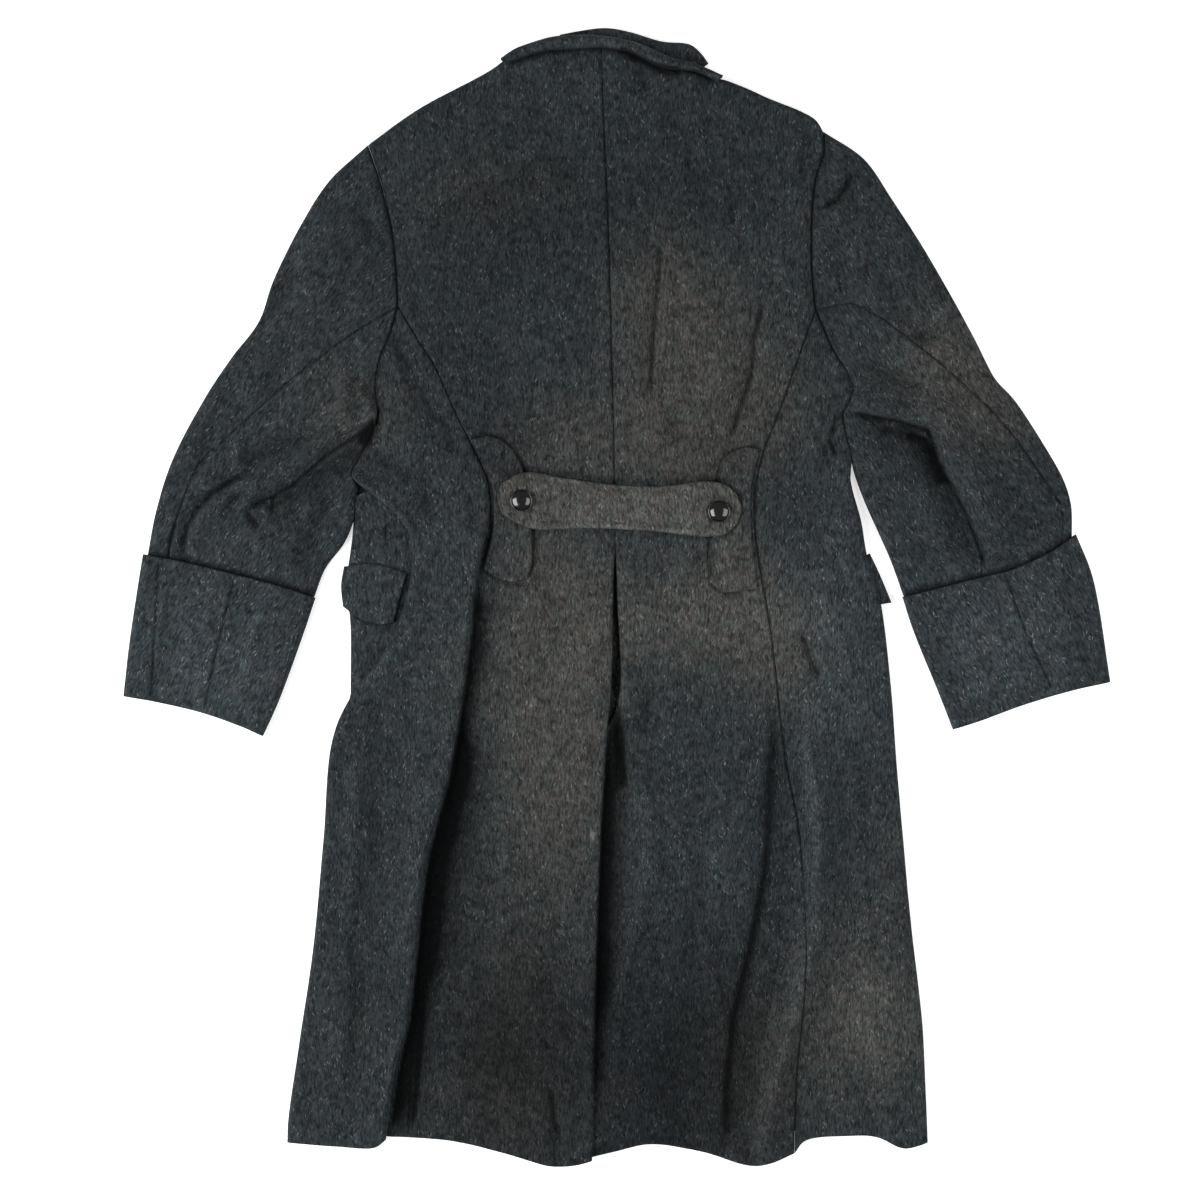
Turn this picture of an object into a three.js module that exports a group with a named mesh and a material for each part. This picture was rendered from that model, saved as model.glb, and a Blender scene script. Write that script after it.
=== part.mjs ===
// A double-breasted wool greatcoat laid flat on its front, back uppermost.
// Millimetres: x runs across the coat, y up it towards the collar, z up from the surface it lies on.
// The fronts lie on the surface, the back lies on them, and every edge of the back rolls down to them.
import * as THREE from "three";

// Cloth
const WALL = 3;
const COLLAR_WALL = 2.6;
const SEAM_GAP = 0.3;
const ROLL = 7;
const ROLL_ANGLES = [90, 60, 30, 0];
const NARROWEST_ROLL = 0.28;
const ROLL_CLEARANCE = 0.2;
const FLOOR_TOP = WALL;
const LAPPED_TOP = 2 * WALL + SEAM_GAP;
const FOOT = FLOOR_TOP + SEAM_GAP;
const WRAP_TOP = 10;
const SEAT = 0.4;
const WRAP_FOOT = WRAP_TOP + SEAT;
const LAP_HALF_WIDTH = 75;
const LAP_RAISED_TO = 110;
const LAP_DOWN_BY = 142;
const LAP_MARGIN = 45;
const WRIST_GAP = 0.6;
const FRONT_HEM = -560;

// Heights of the laid back above the surface
const EDGE_HEIGHT = 12.5;
const HEM_EDGE_HEIGHT = 9.5;
const HEM_SINKS = { from: -380, over: 180, swell: 0.6 };
const MIDDLE = { rise: 3, reach: 110 };
const CHEST = { rise: 3, reach: 190, up: 320 };
const LOWEST = 9.2;
const LOWEST_ON_LAP = 12.2;
const LAP_FLOOR = { from: 150, over: 50 };
const SOFTENING = 2;
const SIDE_FOLD = { lift: 11, drop: 2.5, reach: 60, from: 101, over: 46 };
const VENT = { lift: 4, drop: 2, reach: 50, from: 40, over: 120, step: 24 };
const BAY = { lift: 8, reach: 60, from: 145, over: 30, to: -190, until: 60 };

// Half belt and its buttons
const BELT_UNDER_FROM = 70;
const BELT_UNDER_TO = 84;
const BUTTON_RADIUS = 11.5;
const BUTTON_HEIGHT = 6.5;
const BUTTON_RIM = 1.6;
const BUTTON_SIDES = 16;
const BUTTON_RIM_AT = 0.45;
const BUTTON_BEVEL = { foot: 1, lip: 0.6, dip: 0.3 };
const DOME_ANGLES = [18, 40, 65];
const BUTTON_PLACES = { button_left: [-100, 101], button_right: [106.5, 89.5] };

// Plan outlines: rows of across, up. Each is a smooth line through its points.
const SHOULDER_LEFT = [
  [-261, 474], [-209, 511], [-133, 552], [-112, 566], [-65, 576], [-17, 582],
];
const SHOULDER_RIGHT = [
  [-17, 582], [22, 573], [52, 559], [82, 551], [104, 544], [116, 541], [159, 523], [207, 501], [216, 488],
];
const CENTRE_BACK = [[-17, 582], [-14, 500], [-10, 406], [-6, 280], [-3, 140], [-2, 60]];
const VENT_UPPER = [[-2, 60], [-4, -3], [-6, -87], [-12, -171], [-20, -371], [-26, -590]];
const VENT_UNDER = [
  [-2, 60], [0, -3], [3, -98], [-6, -128], [-30, -160], [-43, -240], [-46, -400], [-49, -592],
];
const ARMHOLE_LEFT = [
  [-261, 474], [-247, 433], [-236, 385], [-231, 341], [-230, 304], [-237, 277], [-248, 250], [-253, 223],
  [-251, 193],
];
const PRINCESS_LEFT = [
  [-230, 304], [-211, 272], [-193, 244], [-169, 191], [-148, 149], [-136, 122], [-133, 101],
];
const FOLD_LEFT = [
  [-133, 101], [-134, 81], [-145, 32], [-153, -35], [-161, -105], [-176, -190], [-200, -274], [-207, -340],
  [-218, -442], [-232, -495], [-242, -568],
];
const UNDER_FOLD_LEFT = [
  [-133, 101], [-135, 81], [-163, 23], [-190, -87], [-217, -224], [-238, -371], [-245, -507], [-246, -565],
];
const SIDE_LEFT = [
  [-251, 193], [-259, 167], [-272, 143], [-278, 127], [-254, 106], [-224, 78], [-214, 46], [-222, -6],
  [-246, -61], [-282, -110], [-299, -152], [-308, -255], [-319, -371], [-333, -465], [-345, -549],
  [-346, -572],
];
const FRONT_EDGE_LEFT = [
  [-251, 193], [-259, 167], [-272, 143], [-276, 108], [-277, 70], [-281, 39], [-285, 13], [-280, -24],
  [-279, -90], [-281, -110], [-299, -152], [-308, -255], [-319, -371], [-333, -465], [-342, -540],
  [-343, -560],
];
const WRAP_TOP_EDGE = [[-276.5, 105], [-258, 111], [-240, 102], [-222, 90]];
const WRAP_LEFT = [[-276.5, 105], [-277, 70], [-281, 39], [-285, 13], [-280, -24], [-279.5, -100]];
const WRAP_RIGHT = [[-222, 90], [-203, 48], [-210, -15], [-236, -70]];
const WRAP_BOTTOM = [[-279.5, -100], [-262, -95], [-236, -70]];
const ARMHOLE_RIGHT = [
  [216, 488], [217, 465], [208, 438], [204, 400], [204, 345], [208, 300], [226, 259], [241, 235], [247, 216],
  [237, 194],
];
const PRINCESS_RIGHT = [
  [208, 300], [186, 239], [170, 194], [153, 151], [144, 112], [145, 60], [160, -29], [177, -171], [191, -245],
  [198, -364], [195, -422], [188, -502], [186, -583],
];
const SIDE_RIGHT = [
  [237, 194], [239, 176], [246, 146], [245, 123], [256, 80], [262, 44], [276, -3], [287, -90], [293, -171],
  [308, -339], [320, -444], [324, -520], [326, -572],
];
const HEM_BACK_LEFT = [[-246, -565], [-174, -570], [-121, -582], [-69, -596], [-44, -595], [-26, -590]];
const HEM_BACK_RIGHT = [
  [-49, -592], [-3, -581], [34, -573], [89, -581], [140, -596], [160, -593], [186, -583],
];
const HEM_SIDE_RIGHT = [[186, -583], [197, -570], [240, -565], [272, -566], [301, -578], [326, -572]];
const HEM_SIDE_LEFT = [[-346, -572], [-304, -575], [-254, -576], [-242, -568]];
const SLEEVE_LEFT_OUTER = [
  [-261, 474], [-301, 437], [-328, 396], [-360, 333], [-376, 288], [-404, 251], [-433, 207], [-467, 142],
  [-484, 87],
];
const SLEEVE_LEFT_INNER = [
  [-251, 193], [-260.5, 174], [-273.5, 150], [-280.5, 128], [-280, 102], [-281, 81], [-289, 57], [-306, 30],
];
const ELBOW_LEFT = [[-230, 304], [-280, 274], [-343, 226], [-384, 189], [-439, 138], [-455, 100], [-465, 70]];
const SLEEVE_RIGHT_OUTER = [
  [216, 488], [259, 459], [288, 417], [328, 354], [375, 270], [396, 229], [416, 207], [444, 165], [468, 123],
  [476, 97],
];
const SLEEVE_RIGHT_INNER = [[237, 194], [241.5, 172], [248, 146], [252, 124], [259, 102], [287, 39]];
const ELBOW_RIGHT = [
  [208, 300], [245, 308], [278, 291], [339, 244], [392, 195], [418, 165], [445, 126], [465, 96],
];
const CUFF_LEFT_TOP = [[-497, 45], [-457, 38], [-415, 28], [-372, 17], [-340, 8], [-316, -1]];
const CUFF_LEFT_BOTTOM = [[-517.5, -104], [-483, -110], [-436, -121], [-393, -136], [-371, -146]];
const CUFF_LEFT_OUTER = [[-497, 45], [-510, -39], [-517.5, -104]];
const CUFF_LEFT_INNER = [[-316, -1], [-329, -40], [-354, -108], [-371, -146]];
const CUFF_RIGHT_TOP = [[481, 66], [457, 49], [435, 38], [411, 28], [369, 18], [346, 12], [299, 0]];
const CUFF_RIGHT_BOTTOM = [[517, -89], [477, -98], [426, -113], [380, -130], [352, -139]];
const CUFF_RIGHT_OUTER = [[481, 66], [499, 19], [517, -89]];
const CUFF_RIGHT_INNER = [[299, 0], [310, -34], [338, -103], [352, -139]];
const BELT_TOP = [
  [-121, 119], [-98, 130], [-51, 124], [1, 117], [45, 116], [94, 121], [112, 118], [125, 108],
];
const BELT_BOTTOM = [
  [-120, 87], [-106, 78], [-87, 71], [-34, 72], [35, 69], [94, 63], [114, 66], [126, 77],
];
const BELT_LEFT_END = [[-121, 119], [-125, 103], [-120, 87]];
const BELT_RIGHT_END = [[125, 108], [130, 93], [126, 77]];
const TAB_LEFT_TOP = [[-153, 165], [-135, 169], [-122, 165], [-109, 154]];
const TAB_LEFT_INNER = [[-109, 154], [-98, 134], [-92, 102], [-89, 69], [-89, 34], [-94, 19]];
const TAB_LEFT_BOTTOM = [[-140, 29], [-124, 19], [-109, 15], [-94, 19]];
const TAB_LEFT_OUTER = [[-153, 165], [-141, 143], [-131, 118], [-129, 96], [-130, 70], [-140, 29]];
const TAB_RIGHT_TOP = [[109, 142], [120, 152], [134, 157], [150, 155]];
const TAB_RIGHT_INNER = [[109, 142], [104, 122], [99, 80], [95, 44], [97, 16]];
const TAB_RIGHT_BOTTOM = [[97, 16], [110, 4], [129, 6], [147, 9]];
const TAB_RIGHT_OUTER = [[150, 155], [144, 133], [140, 112], [141, 60], [147, 9]];
const FLAP_LEFT_TOP = [[-286, 32], [-262, 35], [-238, 31], [-220, 25]];
const FLAP_LEFT_BOTTOM = [[-287, -10], [-266, -25], [-248, -29], [-234, -27]];
const FLAP_LEFT_OUTER = [[-286, 32], [-289, 12], [-287, -10]];
const FLAP_LEFT_INNER = [[-220, 25], [-226, 5], [-234, -27]];
const FLAP_RIGHT_INNER = [[264.5, 38], [269.5, 22], [277, -4]];
const FLAP_RIGHT_OUTER = [[268, 38], [275, 30], [289, 0]];
const NECK_LOW = [
  [-117, 556], [-101, 563], [-75, 571], [-18, 574], [10, 571], [37, 558], [52, 553], [83, 549], [106, 538],
];
const NECK_HIGH = [
  [-122, 564], [-107, 574], [-91, 580], [-65, 587], [-18, 588], [22, 580], [57, 565], [83, 558], [111, 546],
];
const LEAF_LOW = [[-58, 579], [-17, 584], [24, 576], [54, 563], [88, 552]];
const LEAF_HIGH = [[-60, 590], [-39, 594], [-12, 597], [13, 593], [47, 583], [76, 580], [87, 572], [96, 560]];

// Seams end on landmarks, which are rows of the tables above
const PRINCESS_ON_ARMHOLE_LEFT = 4;
const PRINCESS_ON_ARMHOLE_RIGHT = 5;
const FOLD_STARTS = 1;
const BAY_TOP = 3;
const BAY_DEEPEST = 6;
const BAY_FOOT = 9;
const SLEEVE_FROM_CUFF_CORNER = 5;
const ELBOW_ON_CUFF = { left: 27, right: 18 };
const CUFF_PROUD = 3;
const CUFF_WALL = 5.6;
const CUFF_LOWEST = 14.6;

// Folds of the laid cloth. Each runs along its path; rise is its height, or depth where it is a trough, and
// left and right are how far it spreads on either hand of someone walking along the path. It grows from
// nothing over the length fade at either end.
const RIDGE_CENTRE = [[29, -125], [37, -245], [21, -340], [2, -442], [0, -530]];
const RIDGE_RIGHT = [[211, -125], [210, -232], [205, -346], [171, -485], [147, -640]];
const TROUGH_RIGHT = [[156, -200], [151, -297], [134, -381], [116, -490], [110, -640]];
const ARMPIT_CREASE_LEFT = [[-262, 184], [-300, 152], [-338, 121], [-359, 108], [-386, 94]];
const ELBOW_LOBE_RIGHT = [[238, 205], [294, 188], [333, 182], [336, 162], [367, 91], [394, 18]];
const FOLDS = [
  { rise: 9, left: 30, right: 22, fade: 70, path: RIDGE_RIGHT },
  { rise: -5, left: 14, right: 16, fade: 60, path: TROUGH_RIGHT },
  { rise: 4, left: 36, right: 28, fade: 90, path: RIDGE_CENTRE },
  { rise: -4, left: 20, right: 20, fade: 50, path: [[-257, -149], [-253, -190], [-257, -300]] },
  { rise: -3, left: 16, right: 16, fade: 45, path: [[47, 383], [40, 328], [33, 230]] },
  { rise: -2.5, left: 16, right: 16, fade: 35, path: [[151, 302], [141, 244], [127, 198]] },
  { rise: -3, left: 34, right: 34, fade: 50, path: [[-82, 460], [-124, 425], [-187, 404]] },
  { rise: -4, left: 18, right: 16, fade: 50, path: [[-228, 262], [-211, 227], [-193, 188], [-165, 140]] },
  { rise: -3, left: 14, right: 14, fade: 18, path: [[-196, 112], [-207, 80]] },
  { rise: -6, left: 12, right: 18, fade: 30, path: ARMPIT_CREASE_LEFT },
  { rise: -5, left: 14, right: 12, fade: 30, path: [[-396, 120], [-439, 98], [-452, 75], [-458, 42]] },
  { rise: -3.5, left: 12, right: 12, fade: 16, path: [[-378, 124], [-411, 94]] },
  { rise: -3.5, left: 16, right: 16, fade: 30, path: [[-300, 176], [-338, 160], [-370, 147]] },
  { rise: 4, left: 22, right: 22, fade: 35, path: [[-286, 240], [-284, 209], [-305, 176]] },
  { rise: -3, left: 14, right: 14, fade: 22, path: [[-275, 406], [-258, 384], [-246, 362]] },
  { rise: 8, left: 55, right: 9, fade: 26, path: ELBOW_LOBE_RIGHT },
  { rise: -3, left: 12, right: 12, fade: 16, path: [[212, 408], [229, 417], [247, 452]] },
  { rise: -3.5, left: 14, right: 14, fade: 18, path: [[224, 196], [219, 172], [224, 148]] },
  { rise: -3, left: 16, right: 16, fade: 16, path: [[199, -48], [212, -84]] },
  { rise: -3, left: 16, right: 14, fade: 28, path: [[163, -95], [159, -185]] },
  { rise: -3, left: 10, right: 10, fade: 20, path: [[-68, -510], [-66, -544], [-58, -610]] },
  { rise: 5, left: 40, right: 8, fade: 30, path: [[6, -112], [8, -150], [18, -202], [30, -250]] },
  { rise: -4, left: 18, right: 16, fade: 16, path: [[20, 566], [24, 548], [30, 520]] },
  { rise: 4, left: 40, right: 34, fade: 60, path: [[-110, -330], [-80, -450], [-60, -640]] },
  { rise: 3, left: 34, right: 30, fade: 60, path: [[262, -230], [272, -380], [296, -640]] },
  { rise: 3.5, left: 30, right: 34, fade: 60, path: [[-262, -330], [-290, -450], [-300, -640]] },
  { rise: -2.5, left: 24, right: 26, fade: 60, path: [[240, -180], [246, -330], [228, -480], [236, -640]] },
  { rise: 3, left: 32, right: 32, fade: 50, path: [[-92, 20], [-100, -60], [-92, -150]] },
  { rise: -3, left: 18, right: 22, fade: 40, path: [[-330, 384], [-352, 330], [-338, 276]] },
  { rise: 3, left: 26, right: 22, fade: 40, path: [[300, 380], [330, 320], [356, 262]] },
  { rise: -3, left: 16, right: 18, fade: 30, path: [[300, 140], [318, 92], [338, 44]] },
];

const lerp = (from, to, share) => from + (to - from) * share;
const radians = (degrees) => (degrees * Math.PI) / 180;
const smooth = (value) => {
  const t = Math.min(1, Math.max(0, value));
  return t * t * (3 - 2 * t);
};
const apart = (a, b) => Math.hypot(a[0] - b[0], a[1] - b[1]);
const towards = (from, to) => {
  const length = apart(from, to) || 1;
  return [(to[0] - from[0]) / length, (to[1] - from[1]) / length];
};

const STEPS_PER_ROW = 24;

// A smooth plan line that can be measured and cut at its table rows
class Line {
  constructor(points) {
    const spine = points.map(([across, up]) => new THREE.Vector3(across, up, 0));
    const curve = new THREE.CatmullRomCurve3(spine, false, "centripetal");
    this.dense = curve.getPoints(STEPS_PER_ROW * (points.length - 1)).map((point) => [point.x, point.y]);
    this.lengths = [0];
    for (let i = 1; i < this.dense.length; i += 1) {
      this.lengths.push(this.lengths[i - 1] + apart(this.dense[i - 1], this.dense[i]));
    }
    this.length = this.lengths[this.lengths.length - 1];
  }

  lengthAt(row) {
    return this.lengths[row * STEPS_PER_ROW];
  }

  at(length) {
    const wanted = Math.min(this.length, Math.max(0, length));
    let i = 1;
    while (i < this.lengths.length - 1 && this.lengths[i] < wanted) i += 1;
    const share = (wanted - this.lengths[i - 1]) / (this.lengths[i] - this.lengths[i - 1]);
    return [
      lerp(this.dense[i - 1][0], this.dense[i][0], share),
      lerp(this.dense[i - 1][1], this.dense[i][1], share),
    ];
  }

  // Points from one length to another, closely spaced near an end where the cloth rolls over
  run(count, { from = 0, to = this.length, rollFirst = false, rollLast = false } = {}) {
    const lanes = ROLL_ANGLES.slice(0, -1).map((angle) => ROLL * (1 - Math.sin(radians(angle))));
    const start = rollFirst ? from + ROLL : from;
    const end = rollLast ? to - ROLL : to;
    const lengths = rollFirst ? lanes.map((lane) => from + lane) : [];
    for (let i = 0; i <= count; i += 1) lengths.push(lerp(start, end, i / count));
    if (rollLast) lengths.push(...lanes.map((lane) => to - lane).reverse());
    return lengths.map((length) => this.at(length));
  }
}

const join = (...runs) => runs.flatMap((run, i) => (i === 0 ? run : run.slice(1)));

// How far along each point of a run lies, from 0 to 1
function shares(run) {
  const lengths = [0];
  for (let i = 1; i < run.length; i += 1) lengths.push(lengths[i - 1] + apart(run[i - 1], run[i]));
  return lengths.map((length) => length / lengths[lengths.length - 1]);
}

const PATCH_PASSES = 3;

// A plan grid between four edges that meet at their corners. Rows run from top to bottom.
function patch({ top, bottom, left, right }) {
  const [topShare, bottomShare, leftShare, rightShare] = [top, bottom, left, right].map(shares);
  const last = top.length - 1;
  return left.map((leftPoint, i) =>
    top.map((topPoint, j) => {
      let s = topShare[j];
      let t = leftShare[i];
      for (let pass = 0; pass < PATCH_PASSES; pass += 1) {
        s = lerp(topShare[j], bottomShare[j], t);
        t = lerp(leftShare[i], rightShare[i], s);
      }
      return [0, 1].map((k) => {
        const edges = lerp(leftPoint[k], right[i][k], s) + lerp(topPoint[k], bottom[j][k], t);
        const corners = lerp(lerp(top[0][k], top[last][k], s), lerp(bottom[0][k], bottom[last][k], s), t);
        return edges - corners;
      });
    }),
  );
}

// Spaces the points of a row again, close together for the width of a roll at either end
function respace(row, rolls, count) {
  const line = [0];
  for (let i = 1; i < row.length; i += 1) line.push(line[i - 1] + apart(row[i - 1], row[i]));
  const width = line[line.length - 1];
  const roll = Math.min(ROLL, width * NARROWEST_ROLL);
  const lanes = ROLL_ANGLES.slice(0, -1).map((angle) => roll * (1 - Math.sin(radians(angle))));
  const start = rolls.left ? roll : 0;
  const end = rolls.right ? width - roll : width;
  const lengths = rolls.left ? [...lanes] : [];
  for (let i = 0; i <= count; i += 1) lengths.push(lerp(start, end, i / count));
  if (rolls.right) lengths.push(...lanes.map((lane) => width - lane).reverse());
  return lengths.map((length) => {
    let i = 1;
    while (i < line.length - 1 && line[i] < length) i += 1;
    const share = (length - line[i - 1]) / (line[i] - line[i - 1]);
    return [lerp(row[i - 1][0], row[i][0], share), lerp(row[i - 1][1], row[i][1], share)];
  });
}

function respacedPatch(edges, rolls) {
  const grid = patch(edges);
  if (!rolls.left && !rolls.right) return grid;
  const lanes = (ROLL_ANGLES.length - 1) * ((rolls.left ? 1 : 0) + (rolls.right ? 1 : 0));
  const count = grid[0].length - 1 - lanes;
  return grid.map((row, i) => (i === 0 || i === grid.length - 1 ? row : respace(row, rolls, count)));
}

// Moves the seam edges of a grid inwards by the given widths, so that neighbouring pieces stay apart
function insetSeams(grid, seams) {
  const rows = grid.length - 1;
  const columns = grid[0].length - 1;
  const moves = grid.map((row) => row.map(() => [0, 0]));
  const shift = (i, j, by, along, inner) => {
    const [dx, dy] = towards(along[0], along[1]);
    const normal = [-dy, dx];
    const inside = [inner[0] - grid[i][j][0], inner[1] - grid[i][j][1]];
    const side = Math.sign(normal[0] * inside[0] + normal[1] * inside[1]) || 1;
    moves[i][j][0] += normal[0] * side * by;
    moves[i][j][1] += normal[1] * side * by;
  };
  for (let i = 0; i <= rows; i += 1) {
    const above = Math.max(0, i - 1);
    const below = Math.min(rows, i + 1);
    if (seams.left) shift(i, 0, seams.left, [grid[above][0], grid[below][0]], grid[i][1]);
    if (seams.right) {
      shift(i, columns, seams.right, [grid[above][columns], grid[below][columns]], grid[i][columns - 1]);
    }
  }
  for (let j = 0; j <= columns; j += 1) {
    const before = Math.max(0, j - 1);
    const after = Math.min(columns, j + 1);
    if (seams.top) shift(0, j, seams.top, [grid[0][before], grid[0][after]], grid[1][j]);
    if (seams.bottom) {
      shift(rows, j, seams.bottom, [grid[rows][before], grid[rows][after]], grid[rows - 1][j]);
    }
  }
  return grid.map((row, i) => row.map(([across, up], j) => [across + moves[i][j][0], up + moves[i][j][1]]));
}

// The closed solid between an outer and an inner grid of points. A loop joins its last column to its first.
function shell(name, outer, inner, loop = false) {
  const rows = outer.length;
  const columns = outer[0].length;
  const points = [...outer.flat(), ...inner.flat()];
  const out = (i, j) => i * columns + (j % columns);
  const back = (i, j) => rows * columns + out(i, j);
  const triangles = [];
  const quad = (a, b, c, d) => triangles.push(a, b, c, a, c, d);
  const spans = loop ? columns : columns - 1;
  for (let i = 0; i < rows - 1; i += 1) {
    for (let j = 0; j < spans; j += 1) {
      quad(out(i, j), out(i + 1, j), out(i + 1, j + 1), out(i, j + 1));
      quad(back(i, j), back(i, j + 1), back(i + 1, j + 1), back(i + 1, j));
    }
    if (!loop) {
      quad(out(i, 0), back(i, 0), back(i + 1, 0), out(i + 1, 0));
      quad(out(i, spans), out(i + 1, spans), back(i + 1, spans), back(i, spans));
    }
  }
  for (let j = 0; j < spans; j += 1) {
    quad(out(0, j), out(0, j + 1), back(0, j + 1), back(0, j));
    quad(out(rows - 1, j), back(rows - 1, j), back(rows - 1, j + 1), out(rows - 1, j + 1));
  }
  let volume = 0;
  for (let k = 0; k < triangles.length; k += 3) {
    const [a, b, c] = [0, 1, 2].map((corner) => new THREE.Vector3(...points[triangles[k + corner]]));
    volume += a.dot(b.cross(c));
  }
  if (volume < 0) triangles.reverse();
  const geometry = new THREE.BufferGeometry();
  geometry.setAttribute("position", new THREE.Float32BufferAttribute(points.flat(), 3));
  geometry.setIndex(triangles);
  geometry.computeVertexNormals();
  return solid(name, geometry);
}

// Looks of the two kinds of material
const LOOKS = {
  wool: { color: 0x2c3234, roughness: 0.95, metalness: 0 },
  glossy: { color: 0x0b0b0c, roughness: 0.18, metalness: 0 },
};

function solid(name, geometry, look = "wool") {
  const mesh = new THREE.Mesh(geometry, new THREE.MeshStandardMaterial(LOOKS[look]));
  mesh.name = name;
  return mesh;
}

// Signed distance from a path, positive on its right hand, and how far along the path the nearest point lies
function measure(path, [across, up]) {
  let best = { away: Infinity };
  let walked = 0;
  for (let i = 1; i < path.length; i += 1) {
    const [start, end] = [path[i - 1], path[i]];
    const length = apart(start, end);
    const [dx, dy] = towards(start, end);
    const along = Math.min(length, Math.max(0, (across - start[0]) * dx + (up - start[1]) * dy));
    const offset = [across - start[0] - dx * along, up - start[1] - dy * along];
    const away = Math.hypot(...offset);
    if (away < best.away) {
      const side = dy * offset[0] - dx * offset[1] >= 0 ? 1 : -1;
      best = { away, side, along: walked + along };
    }
    walked += length;
  }
  return { ...best, length: walked };
}

function foldHeight({ rise, left, right, fade, path }, place) {
  const { away, side, along, length } = measure(path, place);
  const share = away / (side > 0 ? right : left);
  if (share >= 1) return 0;
  const ends = smooth(along / fade) * smooth((length - along) / fade);
  return rise * ends * (0.5 + 0.5 * Math.cos(Math.PI * share));
}

// Height of the cloth's upper face where it lies on the fronts
function drape(place) {
  const [across, up] = place;
  const hem = smooth((HEM_SINKS.from - up) / HEM_SINKS.over);
  const middle = MIDDLE.rise * Math.exp(-((across / MIDDLE.reach) ** 2)) * (1 + HEM_SINKS.swell * hem);
  const chest = CHEST.rise * Math.exp(-((across / CHEST.reach) ** 2) - ((up - CHEST.up) / CHEST.reach) ** 2);
  const flat = lerp(EDGE_HEIGHT, HEM_EDGE_HEIGHT, hem) + middle + chest;
  const folded = FOLDS.reduce((sum, fold) => sum + foldHeight(fold, place), flat);
  const lapped = smooth((LAP_FLOOR.from - Math.abs(across)) / LAP_FLOOR.over);
  const floor = lerp(LOWEST, LOWEST_ON_LAP, lapped);
  const spare = folded - floor - SOFTENING;
  return spare > 0 ? folded : floor + SOFTENING * Math.exp(spare / SOFTENING);
}

// 1 on a line and 0 from reach away
function nearness(line, place, reach) {
  const share = Math.min(1, measure(line, place).away / reach);
  return 0.5 + 0.5 * Math.cos(Math.PI * share);
}

const foldStrength = (up) => smooth((SIDE_FOLD.from - up) / SIDE_FOLD.over);
const ventStrength = (up) => smooth((VENT.from - up) / VENT.over);

function backLeftHeight(place) {
  const pressed = SIDE_FOLD.drop * foldStrength(place[1]) * nearness(FOLD_LEFT, place, SIDE_FOLD.reach);
  const lifted = VENT.lift * ventStrength(place[1]) * nearness(VENT_UPPER, place, VENT.reach);
  return drape(place) - pressed + lifted;
}

function backRightHeight(place) {
  const { away, side } = measure(VENT_UPPER, place);
  const under = side > 0 ? 1 : 1 - smooth(away / VENT.step);
  return drape(place) - VENT.drop * ventStrength(place[1]) * under;
}

function sideLeftHeight(place) {
  const fold = SIDE_FOLD.lift * foldStrength(place[1]) * nearness(FOLD_LEFT, place, SIDE_FOLD.reach);
  const bayEdge = SIDE_LEFT.slice(BAY_TOP, BAY_FOOT + 1);
  const ends = smooth((BAY.from - place[1]) / BAY.over) * smooth((place[1] - BAY.to) / BAY.until);
  return drape(place) + fold + BAY.lift * nearness(bayEdge, place, BAY.reach) * ends;
}

// Height on which a rolled edge of the back comes down, over the lapped fronts in the middle
function shoulderFoot(row, [across]) {
  const lapped = across > -LAP_HALF_WIDTH - LAP_MARGIN && across < LAP_DOWN_BY;
  return SEAM_GAP + (lapped ? LAPPED_TOP : FLOOR_TOP);
}

// Turns a plan grid into the outer and inner faces of a piece. A rolled edge turns down through a quarter
// circle to its foot; its strength, row by row, is 1 where it rolls and 0 where it lies flat in a seam.
function drapeGrid(grid, height, rolls = {}, wall = WALL) {
  const outer = grid.map((row) => row.map((place) => [...place, height(place)]));
  const inner = outer.map((row) => row.map(([across, up, z]) => [across, up, z - wall]));
  const rows = grid.length - 1;
  const columns = grid[0].length - 1;
  const feet = {};
  const lanes = {
    left: { count: rows + 1, cell: (m, k) => [m, k] },
    right: { count: rows + 1, cell: (m, k) => [m, columns - k] },
    top: { count: columns + 1, cell: (m, k) => [k, m] },
  };
  for (const [side, { foot, strength = () => 1 }] of Object.entries(rolls)) {
    const { count, cell } = lanes[side];
    feet[side] = [];
    for (let m = 0; m < count; m += 1) {
      const [edgeRow, edgeColumn] = cell(m, 0);
      const [crestRow, crestColumn] = cell(m, ROLL_ANGLES.length - 1);
      const edge = grid[edgeRow][edgeColumn];
      const [dx, dy] = towards(edge, grid[crestRow][crestColumn]);
      const crest = outer[crestRow][crestColumn][2];
      const share = strength(m, edge);
      const down = typeof foot === "function" ? foot(m, edge) : foot;
      const radius = Math.max(wall, Math.min(ROLL, crest - down - ROLL_CLEARANCE));
      const flat = outer[edgeRow][edgeColumn][2];
      ROLL_ANGLES.forEach((angle, k) => {
        const [i, j] = cell(m, k);
        const cos = Math.cos(radians(angle));
        const inwards = wall * Math.sin(radians(angle)) * share;
        outer[i][j][2] = lerp(outer[i][j][2], crest - radius * (1 - cos), share);
        inner[i][j] = [
          grid[i][j][0] + dx * inwards,
          grid[i][j][1] + dy * inwards,
          lerp(inner[i][j][2], crest - radius + (radius - wall) * cos, share),
        ];
      });
      feet[side].push({
        outer: [edge[0], edge[1], lerp(flat - wall / 3, down, share)],
        inner: [
          edge[0] + dx * wall * share,
          edge[1] + dy * wall * share,
          lerp(flat - (2 * wall) / 3, down, share),
        ],
      });
    }
  }
  if (feet.left) {
    outer.forEach((row, i) => row.unshift(feet.left[i].outer));
    inner.forEach((row, i) => row.unshift(feet.left[i].inner));
  }
  if (feet.right) {
    outer.forEach((row, i) => row.push(feet.right[i].outer));
    inner.forEach((row, i) => row.push(feet.right[i].inner));
  }
  if (feet.top) {
    outer.unshift(feet.top.map((end) => end.outer));
    inner.unshift(feet.top.map((end) => end.inner));
  }
  return { outer, inner };
}

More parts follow.
